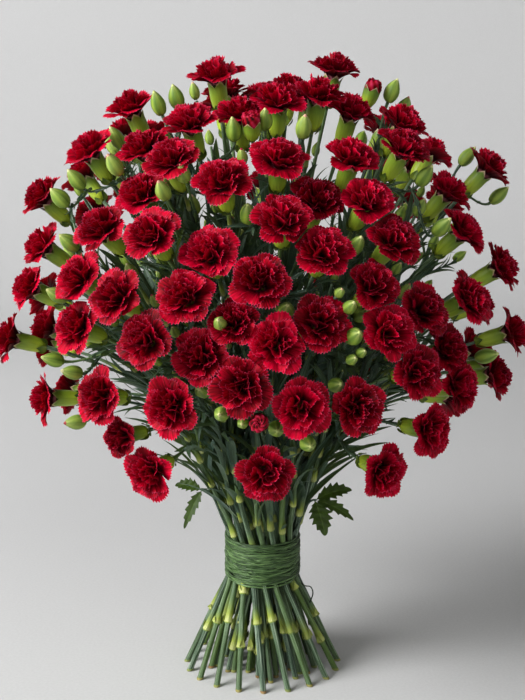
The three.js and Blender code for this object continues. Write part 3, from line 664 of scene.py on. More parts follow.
def add(tree, kind, inputs=(), out=0, stops=(), **settings):
    # one node: its inputs, by name or in order, are links, colours or values
    node = tree.nodes.new("ShaderNode" + kind)
    for name, value in settings.items():
        setattr(node, name, value)
    for name, value in inputs.items() if isinstance(inputs, dict) else enumerate(inputs):
        if isinstance(value, bpy.types.NodeSocket):
            tree.links.new(value, node.inputs[name])
        else:
            node.inputs[name].default_value = linear(value) if isinstance(value, str) else value
    if stops:
        elements = node.color_ramp.elements
        while len(elements) < len(stops):
            elements.new(0.5)
        for element, (place, colour) in zip(elements, stops):
            element.position = place
            element.color = linear(colour)
    return node.outputs[out] if len(node.outputs) else node


def newFinish(name, *readings):
    # an empty material, the function that adds its nodes, and the measures that it reads
    finish = bpy.data.materials.new(name)
    finish.use_nodes = True
    finish.node_tree.nodes.clear()
    node = partial(add, finish.node_tree)
    return finish, node, *(node("Attribute", out="Fac", attribute_name=reading) for reading in readings)


def streaks(node, place, sizes, **noise):
    # long streaks: sizes are the piece's girth and a streak's width, its length and a streak's, in mm,
    # and how far the pattern moves on from piece to piece
    wide, streak, long, run, shuffle = sizes
    place = node("VectorMath", [node("CombineXYZ", place), (wide / streak, long / run, shuffle)],
                 operation="MULTIPLY")
    return node("TexNoise", {"Vector": place, "Scale": 1.0, **noise})


def mottle(node, size, detail):
    # patches of that size in mm
    place = node("TexCoord", out="Object")
    return node("TexNoise", {"Vector": place, "Scale": 1000 / size, "Detail": detail})


def washed(node, colour, washes):
    # each wash: what it follows, where it starts and where it is full, its strength there, its colour
    for follows, start, full, strength, paint in washes:
        share = node("MapRange", [follows, start, full, 0.0, strength])
        colour = node("Mix", {0: share, 6: colour, 7: paint}, out=2, data_type="RGBA")
    return colour


def dress(node, colour, surface, relief=None, sunk=False, glow=None):
    # the surface over that colour: relief is what it follows, its strength and its depth in metres,
    # and glow is how much light comes through and its colour
    if relief:
        height, strength, depth = relief
        normal = node("Bump", {"Height": height, "Strength": strength, "Distance": depth}, invert=sunk)
        surface = {**surface, "Normal": normal}
    shader = node("BsdfPrincipled", {"Base Color": colour, **surface})
    if glow:
        shader = node("MixShader", [glow[0], shader, node("BsdfTranslucent", {"Color": glow[1]})])
    node("OutputMaterial", {"Surface": shader})


# The blooms.

petals = {
    "teeth": 0.75,  # mm that the rim's teeth stand out and in
    "gap": 0.4,  # mm kept from the middle plane between two heads
    # each layer: petals, length, rise angle at the claw and at the rim, half the fan's angle, ruffle
    # and radius of the hollow in mm, fold, twist in degrees, the claw's radius and height, columns
    "layers": [
        [5, 23.6, 18, 104, 33, 1.0, 80, 0.00, 8, 3.6, -13.0, 25],
        [5, 21.4, 15, 88, 32, 1.2, 50, 0.05, 14, 3.2, -13.0, 25],
        [5, 20.8, 15, 58, 28, 1.7, 20, 0.40, 35, 2.8, -13.0, 21],
        [6, 21.2, 9, 36, 23, 1.8, 13, 0.75, 65, 2.3, -13.0, 17],
        [5, 21.8, 3, 17, 18, 1.9, 10, 1.00, 90, 1.6, -13.0, 15],
    ],
    "rows": 11,
    "sway": [9, 12, 12, 10, 8],  # degrees that the petals of a layer differ in rise angle
    "layerTurn": 0.63, "press": 0.35,  # a pressed petal turns up by this share of what it gives way
    # rim is a painted highlight: a thin pale pink line along each petal's toothed edge
    "deep": "#46000c", "middle": "#920018", "bright": "#d00036", "rim": "#e85c88", "claw": "#e08896",
    # paintedShade is painted shade: near black deep in the bloom, where the petals shade each other, and in
    # the folds of a half-open bud
    "paintedShade": "#200004", "ridgeHighlight": "#c02c54", "sheen": "#ff5a90",
    "through": [0.1, "#d8001c"],
    "veins": (25.8, 1.15, 23.6, 12.3, 49.6),
}


def petalShape(layer, sway):
    _, long, low, high, half, ruffle, hollow, fold, twist, claw, height, columns = layer
    long = long * (1 + spread(-0.07, 0.02))
    v = (1 - (1 - np.linspace(0.1, 1, petals["rows"])) ** 1.15)[:, None]
    u = np.linspace(-1, 1, columns)[None]
    angle = u * math.radians(half * (1 + spread(-0.08, 0.08)))
    phase = random.uniform(0, 2 * math.pi, 5)
    rim = 1 - 0.25 * np.abs(u) ** 2.6 + 0.03 * np.sin(3.1 * u + phase[0])
    reach = long * v * (1 + (rim - 1) * v ** 2)
    zigzag = np.where(np.arange(columns) % 2 == 0, 1, -1)
    reach[-1] += petals["teeth"] * zigzag * random.uniform(0.5, 1.4, columns)
    down, across = reach * np.cos(angle), reach * np.sin(angle)
    # the petal's middle line bends outwards from the claw to the rim
    steps = np.linspace(0, 1.1, 60)
    bend = np.radians(low + (high - low + spread(-sway, sway)) * np.minimum(steps, 1) ** 1.05)
    step = long * (steps[1] - steps[0])
    out = claw + np.concatenate([[0], np.cumsum(np.sin(bend[1:]) * step)])
    rise = height + np.concatenate([[0], np.cumsum(np.cos(bend[1:]) * step)])
    outAt, riseAt, bendAt = (np.interp(down / long, steps, row) for row in (out, rise, bend))
    waves = 0.9 * np.sin(3.2 * u + phase[1]) + 0.55 * np.sin(6.6 * u + phase[2])
    waves = waves + 0.2 * np.sin(13 * u + phase[3])
    lift = ruffle * v ** 2 * waves - across ** 2 / (2 * hollow)
    lift = lift - fold * np.abs(across) * math.copysign(1, math.sin(phase[4]))
    turn = math.radians(twist) * spread(-1, 1) * smooth(v * 1.4)
    aside = across * np.cos(turn) - lift * np.sin(turn)
    outward = across * np.sin(turn) + lift * np.cos(turn)
    shape = [outAt + outward * np.cos(bendAt), aside, riseAt - outward * np.sin(bendAt)]
    return np.stack(shape, axis=-1), v, u


def nearHeads(head):
    near = []
    for other in heads:
        gap = other["place"] - head["place"]
        distance = length(gap)
        if 0 < distance < bloom["radius"] * (head["size"] + other["size"]) + 2:
            share = head["size"] / (head["size"] + other["size"])
            near.append((head["place"] + gap * share, gap / distance))
    return near


def addBloom(skin, head):
    side = sideways(head["facing"])
    other = np.cross(head["facing"], side)
    near = nearHeads(head)
    start = spread(0, 2 * math.pi)
    headTint = spread(-0.25, 0.25)
    for order, layer in enumerate(petals["layers"]):
        count = layer[0]
        for k in range(count):
            shape, v, u = petalShape(layer, petals["sway"][order])
            shape[..., :2] *= head["size"]
            turn = start + order * petals["layerTurn"] + (k + spread(-0.12, 0.12)) * 2 * math.pi / count
            outward = side * math.cos(turn) + other * math.sin(turn)
            sidewise = other * math.cos(turn) - side * math.sin(turn)
            place = head["place"] + shape[..., :1] * outward + shape[..., 1:2] * sidewise
            place = place + shape[..., 2:] * head["facing"]
            for middle, away in near:
                past = (place - middle) @ away + petals["gap"] + 0.06 * order
                past = np.maximum(past, 0)[..., None]
                place = place - past * away + head["facing"] * past * petals["press"]
            skin.grid(place, along=v, across=u * 0.5 + 0.5,
                      tint=0.5 + headTint + spread(-0.25, 0.25), tone=order / 4)


def petalFlesh():
    # carnation petal, grown thin and dry: its velvet skin makes the red deep and soft-edged, and it
    # glows a little against the light
    finish, node, along, across, tint = newFinish("crimsonPetalVelvet", "along", "across", "tint")
    # the real veins are finer, and are drawn as coarse as they show
    veins = streaks(node, [across, along, tint], petals["veins"], Detail=3.0, Roughness=0.6)
    shade = node("Math", [tint, 0.5, -0.53], operation="MULTIPLY_ADD")
    shade = node("Math", [veins, 1.5, shade], operation="MULTIPLY_ADD")
    colour = node("ValToRGB", [shade], stops=[
        (0.05, petals["deep"]), (0.38, petals["middle"]), (0.75, petals["bright"])])
    colour = washed(node, colour, [
        # painted shade: each petal darkens towards the middle of the bloom, where the petals shade each
        # other
        [along, 0.92, 0.332, 1.0, petals["paintedShade"]],
        # painted highlight: a thin pale pink line at each petal's rim, where the edge catches the light
        [along, 0.965, 1.0275, 1.0, petals["rim"]],
        [along, 0.27, 0.1033, 1.0, petals["claw"]],
    ])
    surface = {"Roughness": 0.5, "IOR": 1.42, "Specular IOR Level": 0.13, "Sheen Weight": 0.05,
               "Sheen Roughness": 0.35, "Sheen Tint": petals["sheen"]}
    dress(node, colour, surface, relief=[veins, 0.35, 0.0006], glow=petals["through"])
    return finish


def furledPetals():
    # the rolled petals of a half-open bud: painted shade, deep crimson to near black, in the folds, and a
    # painted highlight on the ridges
    finish, node, tone = newFinish("furledCrimsonPetals", "tone")
    colour = node("ValToRGB", [tone], stops=[
        (0.15, petals["paintedShade"]), (0.5, petals["middle"]), (0.95, petals["ridgeHighlight"])])
    dress(node, colour, {"Roughness": 0.5, "IOR": 1.42, "Specular IOR Level": 0.2})
    return finish


# The green cups under the blooms. A spray's faces take its finishes by these numbers.

cupFinish, stemFinish, leafFinish, cutFinish, budFinish, tipFinish, furledFinish = range(7)
cup = {
    "sides": 20, "teeth": 5, "toothRise": 5.4, "toothFlare": 1.3, "toothShape": 0.9,
    "crown": (0.25, 0.65, 1),  # rows that the teeth rise over
    # height above the cup's foot and radius, in mm, up to the mouth
    "profile": [[0, 1.25], [1.0, 2.3], [2.2, 3.5], [4, 4.8], [7, 5.9], [11, 6.5], [15, 6.7], [18, 6.7],
                [20.6, 6.8]],
    "bracts": (4, 8.5, 6.2, 2.6, -0.5, 3.6),  # count, length, width, radius, height, lean
    # along the cup from foot to mouth: the greens darken towards the mouth as painted shade under the
    # petals, and the teeth tips are pale
    "stops": [(0.0, "#7e9a34"), (0.14, "#ccd448"), (0.36, "#b4c63c"), (0.62, "#7d9c36"), (0.88, "#58762e"),
              (1.0, "#e2b8a8")],
    "rib": "#4c6a1c", "pale": "#b2c43c", "bract": "#3a5220",
    "ribs": (42.1, 1.063, 26, 9.63, 1.8),
    "surface": {"Roughness": 0.38, "IOR": 1.45, "Specular IOR Level": 0.5},
}


def addBracts(skin, foot, axis, count, tall, width, radius, low, lean):
    side = sideways(axis)
    other = np.cross(axis, side)
    start = spread(0, 6.28)
    t = np.linspace(0, 1, 6)
    widths = width * np.array([0.5, 0.9, 1.0, 0.8, 0.42, 0.04])
    bulge = radius + lean * t ** 1.5 + 0.9 * np.sin(t * math.pi)
    for k in range(count):
        turn = start + k * 2 * math.pi / count
        outward = side * math.cos(turn) + other * math.sin(turn)
        height = low + tall * (1 - 0.18 * (k % 2)) * t
        line = foot + axis * height[:, None] + outward * bulge[:, None]
        addBlade(skin, line, widths, np.cross(axis, outward), cupFinish, keel=-0.35,
                 tint=spread(0, 1), tone=0.9)


def crowned(profile, look):
    # the profile with a toothed mouth above its last ring, and how its corners rise and flare there
    sides = look["sides"]
    rows = len(look["crown"])
    profile = profile + [profile[-1]] * rows
    saw = 1 - np.abs(((np.arange(sides) / sides * look["teeth"]) % 1) * 2 - 1)
    wobble = np.zeros((2, len(profile), sides))
    share = np.array(look["crown"])[:, None]
    wobble[0, -rows:] = share * saw ** look["toothShape"] * look["toothRise"]
    wobble[1, -rows:] = share * saw * look["toothFlare"]
    return profile, wobble


def addCup(skin, head):
    axis = head["facing"]
    foot = head["place"] - axis * (bloom["neck"] + bloom["cupLength"])
    scale = np.array([[1, head["size"] * 0.5 + 0.5]])
    profile, wobble = crowned((np.array(cup["profile"]) * scale).tolist(), cup)
    addLathe(skin, foot, axis, profile, cup["sides"], cupFinish, wobble, tint=spread(0, 1))
    addBracts(skin, foot, axis, *cup["bracts"])


def cupSkin():
    # green cup, grown smooth and leathery: satin, ribbed lengthwise, pale at the foot, and darker towards
    # the mouth with painted shade from the petals above
    finish, node, along, across, tint, tone = newFinish("leatheryCup", *measures)
    ribs = streaks(node, [across, along, tint], cup["ribs"])
    colour = washed(node, node("ValToRGB", [along], stops=cup["stops"]), [
        [ribs, 0.36, 0.7767, 0.42, cup["rib"]],
        [tint, 0.0, 1.0, 0.3, cup["pale"]],
        [tone, 0.0, 1.0, 0.75, cup["bract"]],
    ])
    dress(node, colour, cup["surface"], relief=[ribs, 0.4, 0.0005])
    return finish


# The buds: closed, half open, and the small ones that stand beside the larger.

budLook = {
    "sides": 15, "sepals": 5, "ridge": 0.28,
    "profile": [[-9.6, 1.0], [-9.0, 2.3], [-7.8, 3.8], [-5.5, 5.1], [-2.5, 5.75], [0.5, 5.55], [3.2, 4.7],
                [5.8, 3.3], [7.8, 1.9], [9.2, 0.6]],
    "tip": [[6.6, 2.1], [8.8, 1.2], [9.9, 0.3]],
    "bracts": [6.5, 4.2, 1.7, 1.9], "bractLow": -0.3,  # length, width, radius, lean, and height
    "stops": [(0.0, "#c9d25c"), (0.3, "#abc04c"), (0.7, "#97b046"), (0.93, "#c0c67a"), (1.0, "#e2d8a8")],
    "stripe": "#4f7024", "pale": "#c2d27a",
    "tipStops": [(0.1, "#b9c67a"), (0.6, "#ddd6a6"), (0.8, "#d8a890"), (0.95, "#a8283e")],
    "ribs": (35, 0.875, 19, 6.33, 2.0),
    "surface": {"Roughness": 0.48, "IOR": 1.45, "Specular IOR Level": 0.4},
}
openBud = {
    "profile": [[-10.5, 1.2], [-9.6, 2.6], [-8, 4.2], [-5, 5.7], [-1, 6.4], [2.5, 6.5]],
    "petals": [[1, 5.6], [4, 6.1], [7.5, 6.0], [10, 5.4], [11.2, 4.4], [10.4, 3.4], [11.4, 2.5], [10.6, 1.6],
               [11, 0.5]],
    "sides": 60, "teeth": 5, "toothRise": 4.6, "toothFlare": 0.7, "toothShape": 1, "crown": (0.5, 1),
    "pleats": 7, "pleat": 0.65, "twist": 1.9, "bracts": (3, 7, 4.6, 1.9, -0.3, 2.4),
}
halfOpen = [12, 28]  # of the front buds
# across, up and size of each small bud, with size 0 for the half-open one
smallBuds = [
    [-36, 298, 0.8], [65, 324, 0.6], [74, 312, 0.85], [78, 287, 1.0], [84, 273, 0.6], [76, 267, 0.7],
    [-35, 220, 0.95], [-17, 212, 0.7], [-83, 409, 0.95], [-66, 423, 0.85], [-56, 490, 0.7], [2, 467, 0.9],
    [-17, 437, 0.7], [-9, 460, 0],
]


def addBud(skin, at, axis, size=1.0):
    tint = spread(0, 1)
    fat = 1 + spread(-0.08, 0.06)
    profile = np.array(budLook["profile"]) * [size, fat * size]
    ridge = budLook["ridge"] * np.cos(turns(budLook["sides"]) * budLook["sepals"])
    wobble = (0, ridge * smooth(profile[:, 1] / 4)[:, None])
    addLathe(skin, at, axis, profile, budLook["sides"], budFinish, wobble, tint=tint)
    addLathe(skin, at, axis, np.array(budLook["tip"]) * size, budLook["sides"], tipFinish, tint=tint)
    tall, width, radius, lean = np.array(budLook["bracts"]) * size
    foot = at - axis * (bud["length"] / 2 * size)
    addBracts(skin, foot, axis, 2, tall, width, radius, budLook["bractLow"], lean)


def addHalfOpenBud(skin, at, axis):
    # a bud whose cup has opened in five points round the furled petals
    sides = openBud["sides"]
    tint = spread(0, 1)
    profile, wobble = crowned(openBud["profile"], openBud)
    addLathe(skin, at, axis, profile, sides, cupFinish, wobble, tint=tint)
    rows = np.arange(len(openBud["petals"]))[:, None]
    wave = np.cos(turns(sides) * openBud["pleats"] + rows * openBud["twist"])
    wave = wave + 0.6 * np.cos(turns(sides) * 2 - 1.1 * rows + tint * 6)
    out = np.array(openBud["petals"])[:, 1:]
    wobble = (0.5 * wave, openBud["pleat"] * wave * smooth(out / 5))
    tone = 0.5 + 0.33 * wave
    addLathe(skin, at, axis, openBud["petals"], sides, furledFinish, wobble, tint=tint, tone=tone)
    addBracts(skin, at - axis * 10, axis, *openBud["bracts"])


def addSmallBud(across, up, size):
    # a small bud on the nearest spray, with its own stalk
    at, _ = layOnBall(across, up, 6)
    facing = facingAt(at)
    foot = at - facing * 8
    spray = min(sprays, key=lambda s: np.linalg.norm(spineAt(s["line"], 0.8) - foot))
    skin = skins[spray["name"]]
    if size:
        addBud(skin, at, facing, size)
    else:
        addHalfOpenBud(skin, at, facing)
    addStalk(skin, stalkLine(spray["line"], 0.8, foot, facing), stalks["smallest"])


def budSkin():
    # closed bud, grown tight: satin green sepals with pale margins, cream where they part at the tip
    finish, node, along, across, tint = newFinish("ribbedBud", "along", "across", "tint")
    turn = node("Math", [across, 2 * math.pi * budLook["sepals"]], operation="MULTIPLY")
    wave = node("MapRange", [node("Math", [turn], operation="COSINE"), -1.0, 1.0, 0.0, 1.0])
    fine = streaks(node, [across, along, tint], budLook["ribs"])
    stripe = node("Math", [wave, fine], operation="ADD")
    colour = washed(node, node("ValToRGB", [along], stops=budLook["stops"]), [
        [stripe, 0.0, 1.7857, 1.0, budLook["stripe"]],
        [tint, 0.0, 1.0, 0.25, budLook["pale"]],
    ])
    dress(node, colour, budLook["surface"], relief=[fine, 0.4, 0.0005])
    return finish


def budTip():
    # the furled petals at a closed bud's tip: dull, cream to deep pink
    finish, node, tint = newFinish("furledBudPetals", "tint")
    colour = node("ValToRGB", [tint], stops=budLook["tipStops"])
    dress(node, colour, {"Roughness": 0.6, "IOR": 1.42})
    return finish


# Stalks and stems, with swollen joints: above each one a pale sheath widens down to it.

stalks = {
    "main": 1.25, "bud": 0.95, "smallest": 0.8,  # radii in mm
    "sides": 7, "points": 14,
    # the leaf pairs: where on the stalk, shortest and longest leaf, width
    "leaves": [[0.04, 28, 52, 4.4], [0.22, 24, 46, 4.0], [0.4, 18, 36, 3.6], [0.58, 14, 26, 3.0],
               [0.78, 8, 14, 2.4]],
}
stemLook = {
    "sides": 10, "outer": 2.5, "inner": 2.3, "pitch": 2.2,  # radii and the step between rings, in mm
    "sheath": [13, 30], "swell": 0.45, "jointGap": [44, 62], "leafyGap": [24, 36], "leafyFrom": 150,
    "taper": [[0, 0.3, 0.55, 0.8, 1], [1.0, 0.98, 0.88, 0.74, 0.5]],
    "knots": (0.06, 0.2, 0.36, 0.5, 0.64, 0.78, 0.9, 1.0),
    "deep": "#13221a", "bloomed": "#46604a", "light": "#a9bba6", "fresh": "#5f7c2c", "wax": "#cfe0da",
    "sheathGreen": "#5d7a30", "sheathPale": "#a3ae42", "joint": "#dcdc9c", "older": "#6f7a34",
    "ridges": (15.7, 1.026, 470, 46.1, 1.7), "patch": 11.1,  # mm
    "cutRows": ((1.04, 2.4), (1.06, 0.9), (0.98, 0.2), (0.72, 0.0), (0.4, 0.35)),
    "cutStops": [(0.1, "#6d7f3e"), (0.6, "#8f8f48"), (0.95, "#86613a")],
    "pithStops": [(0.3, "#8f8a5a"), (0.7, "#cfc99b")], "pithGrain": 1.43,
}
inner = {
    "stems": 56, "waist": 17.5, "splay": 2.5, "reach": [118, 176], "budSize": [0.5, 0.85],
    "sideBuds": 2, "sideBudSize": [0.45, 0.75], "golden": 2.4,
    # the space that leaves and buds keep to
    "room": 172, "footRoom": 26, "roomFrom": 110, "roomSlope": 0.95,
}


def addStalk(skin, line, radius):
    points = curvePoints(line, stalks["points"])
    points[0] = spineAt(line, 0)
    t = np.linspace(0, 1, len(points))
    count = len(points)
    flare = 0.5 * np.exp(-((1 - t) * count) ** 2 / 3) + 0.25 * np.exp(-(t * count) ** 2 / 2)
    addTube(skin, points, radius * (0.95 + flare), stalks["sides"], stemFinish, along=t, tint=spread(0, 1))
    for share, low, high, width in stalks["leaves"]:
        heading = headingAt(line[0], share)
        side = unit(np.cross(heading, point(*random.normal(size=3))))
        for way in (-1, 1):
            addNodeLeaf(skin, curveAt(line[0], share), heading, side * way, spread(low, high),
                        width * spread(0.8, 1.15))


def addJointedStem(skin, knots, firstJoint, thick, outward):
    points, lengths = evenly(throughPoints(np.array(knots), 10), stemLook["pitch"])
    total = lengths[-1]
    joints = [firstJoint]
    while joints[-1] < total - 45:
        gap = stemLook["jointGap"] if joints[-1] < stemLook["leafyFrom"] else stemLook["leafyGap"]
        joints.append(joints[-1] + spread(*gap))
    radius = np.interp(lengths / total, *stemLook["taper"]) * thick
    tone = np.zeros(len(points))
    for at in joints:
        above = lengths - at
        sheath = np.where(above >= -0.6, np.clip(1 - above / spread(*stemLook["sheath"]), 0, 1), 0)
        radius = radius * (1 + stemLook["swell"] * sheath ** 2.2)
        tone = np.maximum(tone, sheath)
    addTube(skin, points, radius, stemLook["sides"], stemFinish, caps=(False, True), along=lengths / total,
            tone=tone, tint=spread(0, 1))
    addCutEnd(skin, points[0], unit(points[2] - points[0]), radius[0])
    heading, side, other = framesAlong(points, outward)
    for at in joints[:-1]:
        k = min(int(np.searchsorted(lengths, at)), len(points) - 2)
        turn = spread(0, 3.14)
        away = side[k] * math.cos(turn) + other[k] * math.sin(turn)
        free = points[k][2] > tie["top"] + 6
        for way in (-1, 1) if free or points[k][2] < tie["bottom"] - 8 else ():
            root = points[k] + away * way * radius[k] * 0.6
            if free:
                addNodeLeaf(skin, root, heading[k], away * way, spread(*narrowLeaf["length"]),
                            spread(*narrowLeaf["width"]))
            else:
                addFlap(skin, root, heading[k], away * way, radius[k])


def addStem(skin, spray):
    low, high, end = spray["low"], spray["high"], spray["end"]
    rise = low - end
    knots = [end, end + rise * 0.35, end + rise * 0.7, low - unit(rise) * 6, (low + high) / 2]
    knots += [curveAt(spray["line"][0], t) for t in stemLook["knots"]]
    addJointedStem(skin, knots, length(rise) * spray["joint"], stemLook["outer"], spray["outward"])


def addInnerStem(skin, order):
    # one of the leafy stems that fill the middle of the tie and of the ball
    share = math.sqrt((order + 0.6) / inner["stems"])
    radius = inner["waist"] * share
    turn = order * inner["golden"] + spread(-0.3, 0.3)
    low = waistAt(radius, turn, tie["bottom"])
    high = waistAt(radius, turn, tie["top"])
    reach = radius * inner["splay"] + spread(-6, 6)
    foot = turn + 0.45 + spread(-0.2, 0.2)
    end = point(reach * math.cos(foot), reach * math.sin(foot), 0)
    away = turn + spread(-0.6, 0.6)
    lean = math.radians(spread(4, 16) + 84 * share)
    far = spread(*inner["reach"])
    top = point(math.sin(lean) * math.cos(away), math.sin(lean) * math.sin(away), math.cos(lean)) * far
    top = top + point(0, 0, ball["height"])
    knots = [end, end + (low - end) * 0.5, low, high, high + (top - high) * 0.4 + upright * 26, top]
    outward = point(math.cos(turn), math.sin(turn), 0)
    addJointedStem(skin, knots, spread(14, 66), stemLook["inner"], outward)
    facing = unit(top - knots[-2])
    addBud(skin, top + facing * 8, facing, spread(*inner["budSize"]))
    for _ in range(inner["sideBuds"]):
        start = high + (top - high) * spread(0.62, 0.85) + upright * 6
        aside = unit(np.cross(facing, point(*random.normal(size=3))))
        tip = start + facing * spread(18, 34) + aside * spread(16, 30)
        if insideBunch(tip):
            budFacing = unit(facing + aside * 0.4)
            line = ([start, start + facing * 10, tip - budFacing * 8, tip], [0, 0.5, 1])
            addStalk(skin, line, stalks["smallest"])
            addBud(skin, tip + facing * 5, budFacing, spread(*inner["sideBudSize"]))


def insideBunch(place):
    offset = place - point(0, 0, ball["height"])
    out = math.hypot(place[0], place[1])
    widest = inner["footRoom"] + max(0, place[2] - inner["roomFrom"]) * inner["roomSlope"]
    return offset @ offset < inner["room"] ** 2 and out < widest


def addCutEnd(skin, end, down, radius):
    side = unit(np.cross(down, upright))
    other = np.cross(down, side)
    turn = turns(stemLook["sides"])
    around = side * np.cos(turn)[:, None] + other * np.sin(turn)[:, None]
    rows = []
    for share, lift in stemLook["cutRows"]:
        ring = end + around * radius * share
        rows.append(ring - down * (ring[:, 2:] / down[2]) + down * lift)
    along = np.linspace(0, 1, len(rows))[:, None]
    skin.grid(np.array(rows), cutFinish, closed=True, caps=(False, True), along=along, tint=spread(0, 1))


def stemSkin():
    # carnation stem, grown under a wax bloom: matt and bluish, with pale yellow-green sheaths at the joints
    finish, node, along, across, tint, tone = newFinish("waxyStem", *measures)
    ridges = streaks(node, [across, along, tint], stemLook["ridges"])
    colour = node("ValToRGB", [ridges], stops=[
        (0.34, stemLook["deep"]), (0.5, stemLook["bloomed"]), (0.68, stemLook["light"])])
    sheath = node("ValToRGB", [tone], stops=[
        (0.3, stemLook["sheathGreen"]), (0.75, stemLook["sheathPale"]), (1.0, stemLook["joint"])])
    older = node("Math", [node("Math", [tint, 40.0], operation="MULTIPLY")], operation="SINE")
    sheath = washed(node, sheath, [
        [ridges, 0.35, 0.6833, 0.6, stemLook["sheathGreen"]],
        [older, 0.1, 1.1, 0.75, stemLook["older"]],
    ])
    colour = washed(node, colour, [
        [mottle(node, stemLook["patch"], 4.0), 0.0, 1.0, 0.4, stemLook["deep"]],
        [node("Math", [tint, 1.6], operation="POWER"), 0.0, 1.0, 0.7, stemLook["fresh"]],
        [tone, 0.12, 0.7867, 1.0, sheath],
    ])
    surface = {"Roughness": 0.5, "IOR": 1.45, "Sheen Weight": 0.18, "Sheen Roughness": 0.4,
               "Sheen Tint": stemLook["wax"]}
    dress(node, colour, surface, relief=[ridges, 0.5, 0.0005])
    return finish


def cutStem():
    # fresh-cut stem end: wet pale pith browning at the rim
    finish, node, along, tint = newFinish("cutStemEnd", "along", "tint")
    rim = node("ValToRGB", [tint], stops=stemLook["cutStops"])
    pith = node("ValToRGB", [mottle(node, stemLook["pithGrain"], 3.0)], stops=stemLook["pithStops"])
    dress(node, washed(node, rim, [[along, 0.0, 0.8333, 1.0, pith]]), {"Roughness": 0.6, "IOR": 1.4})
    return finish


# The leaves: strap leaves, the narrow pairs at the joints, and the dry feet of those stripped off.

strap = {
    "rows": 15, "columns": 7, "keel": 0.28,
    "outline": [[0, 0.06, 0.2, 0.45, 0.7, 0.88, 1], [0.75, 0.7, 0.9, 1.0, 0.8, 0.42, 0.03]],
    "stops": [(0.32, "#22342b"), (0.52, "#3f594c"), (0.7, "#73907d")],
    "fresh": "#4c5e2c", "foot": "#8c9a5c", "through": [0.12, "#8aa53c"],
    "veins": (3.6, 0.218, 64, 35.6, 1.5),  # from the rib to the edge
}
narrowLeaf = {
    "length": [44, 84], "width": [5.0, 8.6], "rows": 10, "tries": 7, "shorter": 0.8,
    "outline": [[0, 0.1, 0.35, 0.65, 0.85, 1], [0.8, 0.75, 1.0, 0.85, 0.5, 0.04]],
}
flap = {"length": [3.5, 8], "outline": [1, 0.95, 0.75, 0.45, 0.06]}


def addNodeLeaf(skin, at, heading, away, far, width):
    # one of the two long narrow leaves at a joint, made shorter until it stays inside the bunch
    curl = spread(0.15, 0.6)
    drop = spread(0.0, 0.25)
    t = np.linspace(0, 1, narrowLeaf["rows"])
    for _ in range(narrowLeaf["tries"]):
        line = at + heading * (far * (t - drop * t ** 3))[:, None]
        line = line + away * (far * (0.1 * t + curl * t ** 2.2))[:, None]
        if insideBunch(line[-1]) and insideBunch(line[len(line) // 2]):
            break
        far *= narrowLeaf["shorter"]
    widths = width * np.interp(t, *narrowLeaf["outline"])
    addBlade(skin, line, widths, np.cross(heading, away), leafFinish,
             keel=spread(0.15, 0.4), tint=spread(0, 1))


def addFlap(skin, at, heading, away, radius):
    t = np.linspace(0, 1, len(flap["outline"]))
    line = at + heading * (spread(*flap["length"]) * t)[:, None] + away * (0.6 + 1.6 * t ** 1.6)[:, None]
    widths = radius * 1.5 * np.array(flap["outline"])
    addBlade(skin, line, widths, np.cross(heading, away), stemFinish, columns=4, keel=-0.4, tone=0.8,
             tint=spread(0, 1))


def addStrapLeaf(skin, one):
    t = np.linspace(0, 1, strap["rows"])
    widths = leaf["width"] * np.interp(t, *strap["outline"])
    points = curvePoints(one["line"], strap["rows"])
    addBlade(skin, points, widths, one["side"], leafFinish, strap["columns"], strap["keel"],
             tint=spread(0, 1))


def strapLeaf():
    # carnation leaf, grown under a wax bloom: soft grey-green with long fine veins, paler towards its foot
    finish, node, along, across, tint = newFinish("waxyStrapLeaf", "along", "across", "tint")
    veins = streaks(node, [across, along, tint], strap["veins"])
    colour = washed(node, node("ValToRGB", [veins], stops=strap["stops"]), [
        [tint, 0.0, 1.0, 0.35, strap["fresh"]],
        [along, 0.16, -0.1733, 1.0, strap["foot"]],
    ])
    surface = {"Roughness": 0.45, "IOR": 1.45, "Sheen Weight": 0.2, "Sheen Roughness": 0.4,
               "Sheen Tint": stemLook["wax"]}
    dress(node, colour, surface, relief=[veins, 0.4, 0.0004], glow=strap["through"])
    return finish


# The leafy twigs.

twigLook = {
    "teeth": 6, "rows": 37, "columns": 9, "wider": 1.2, "arch": 0.12,
    "radius": [1.15, 0.9], "sides": 7, "stemFinish": 1,
    "face": (0, -0.75, 0.65),  # the way that its leaves look
    "stops": [(0.3, "#1f2e0e"), (0.55, "#334a14"), (0.8, "#4a6620")],
    "vein": "#6c883c", "through": [0.15, "#7d9c2c"],
    "long": 34.5, "veinGap": 3.5, "patch": 6.25,  # mm
}


def addToothedLeaf(skin, start, tip, width):
    end = point(*tip)
    heading = unit(end - start)
    across = unit(np.cross(heading, twigLook["face"]))
    top = np.cross(across, heading)
    arch = upright * (length(start - end) * twigLook["arch"])
    curve = [start, start + (end - start) * 0.33 + arch, start + (end - start) * 0.67 + arch, end]
    t = np.linspace(0, 1, twigLook["rows"])[:, None]
    u = np.linspace(-1, 1, twigLook["columns"])[None]
    rib = np.array([curveAt(curve, s) for s in t[:, 0]])[:, None]
    outline = np.sin(np.clip((t - 0.08) / 0.92, 0, 1) ** 0.8 * math.pi) ** 0.75
    saw = (t * twigLook["teeth"]) % 1
    half = width * twigLook["wider"] / 2 * (outline * (0.62 + 0.5 * saw ** 1.3) + 0.05 * (1 - t))
    rise = half * (0.28 * np.abs(u) + 0.06 * np.sin(t * 30 + 4 * u)) - width * 0.05
    place = rib + across * (u * half)[..., None] + top * rise[..., None]
    place = place + heading * (0.16 * half * np.abs(u))[..., None]
    skin.grid(place, along=t, across=u * 0.5 + 0.5, tint=spread(0, 1))


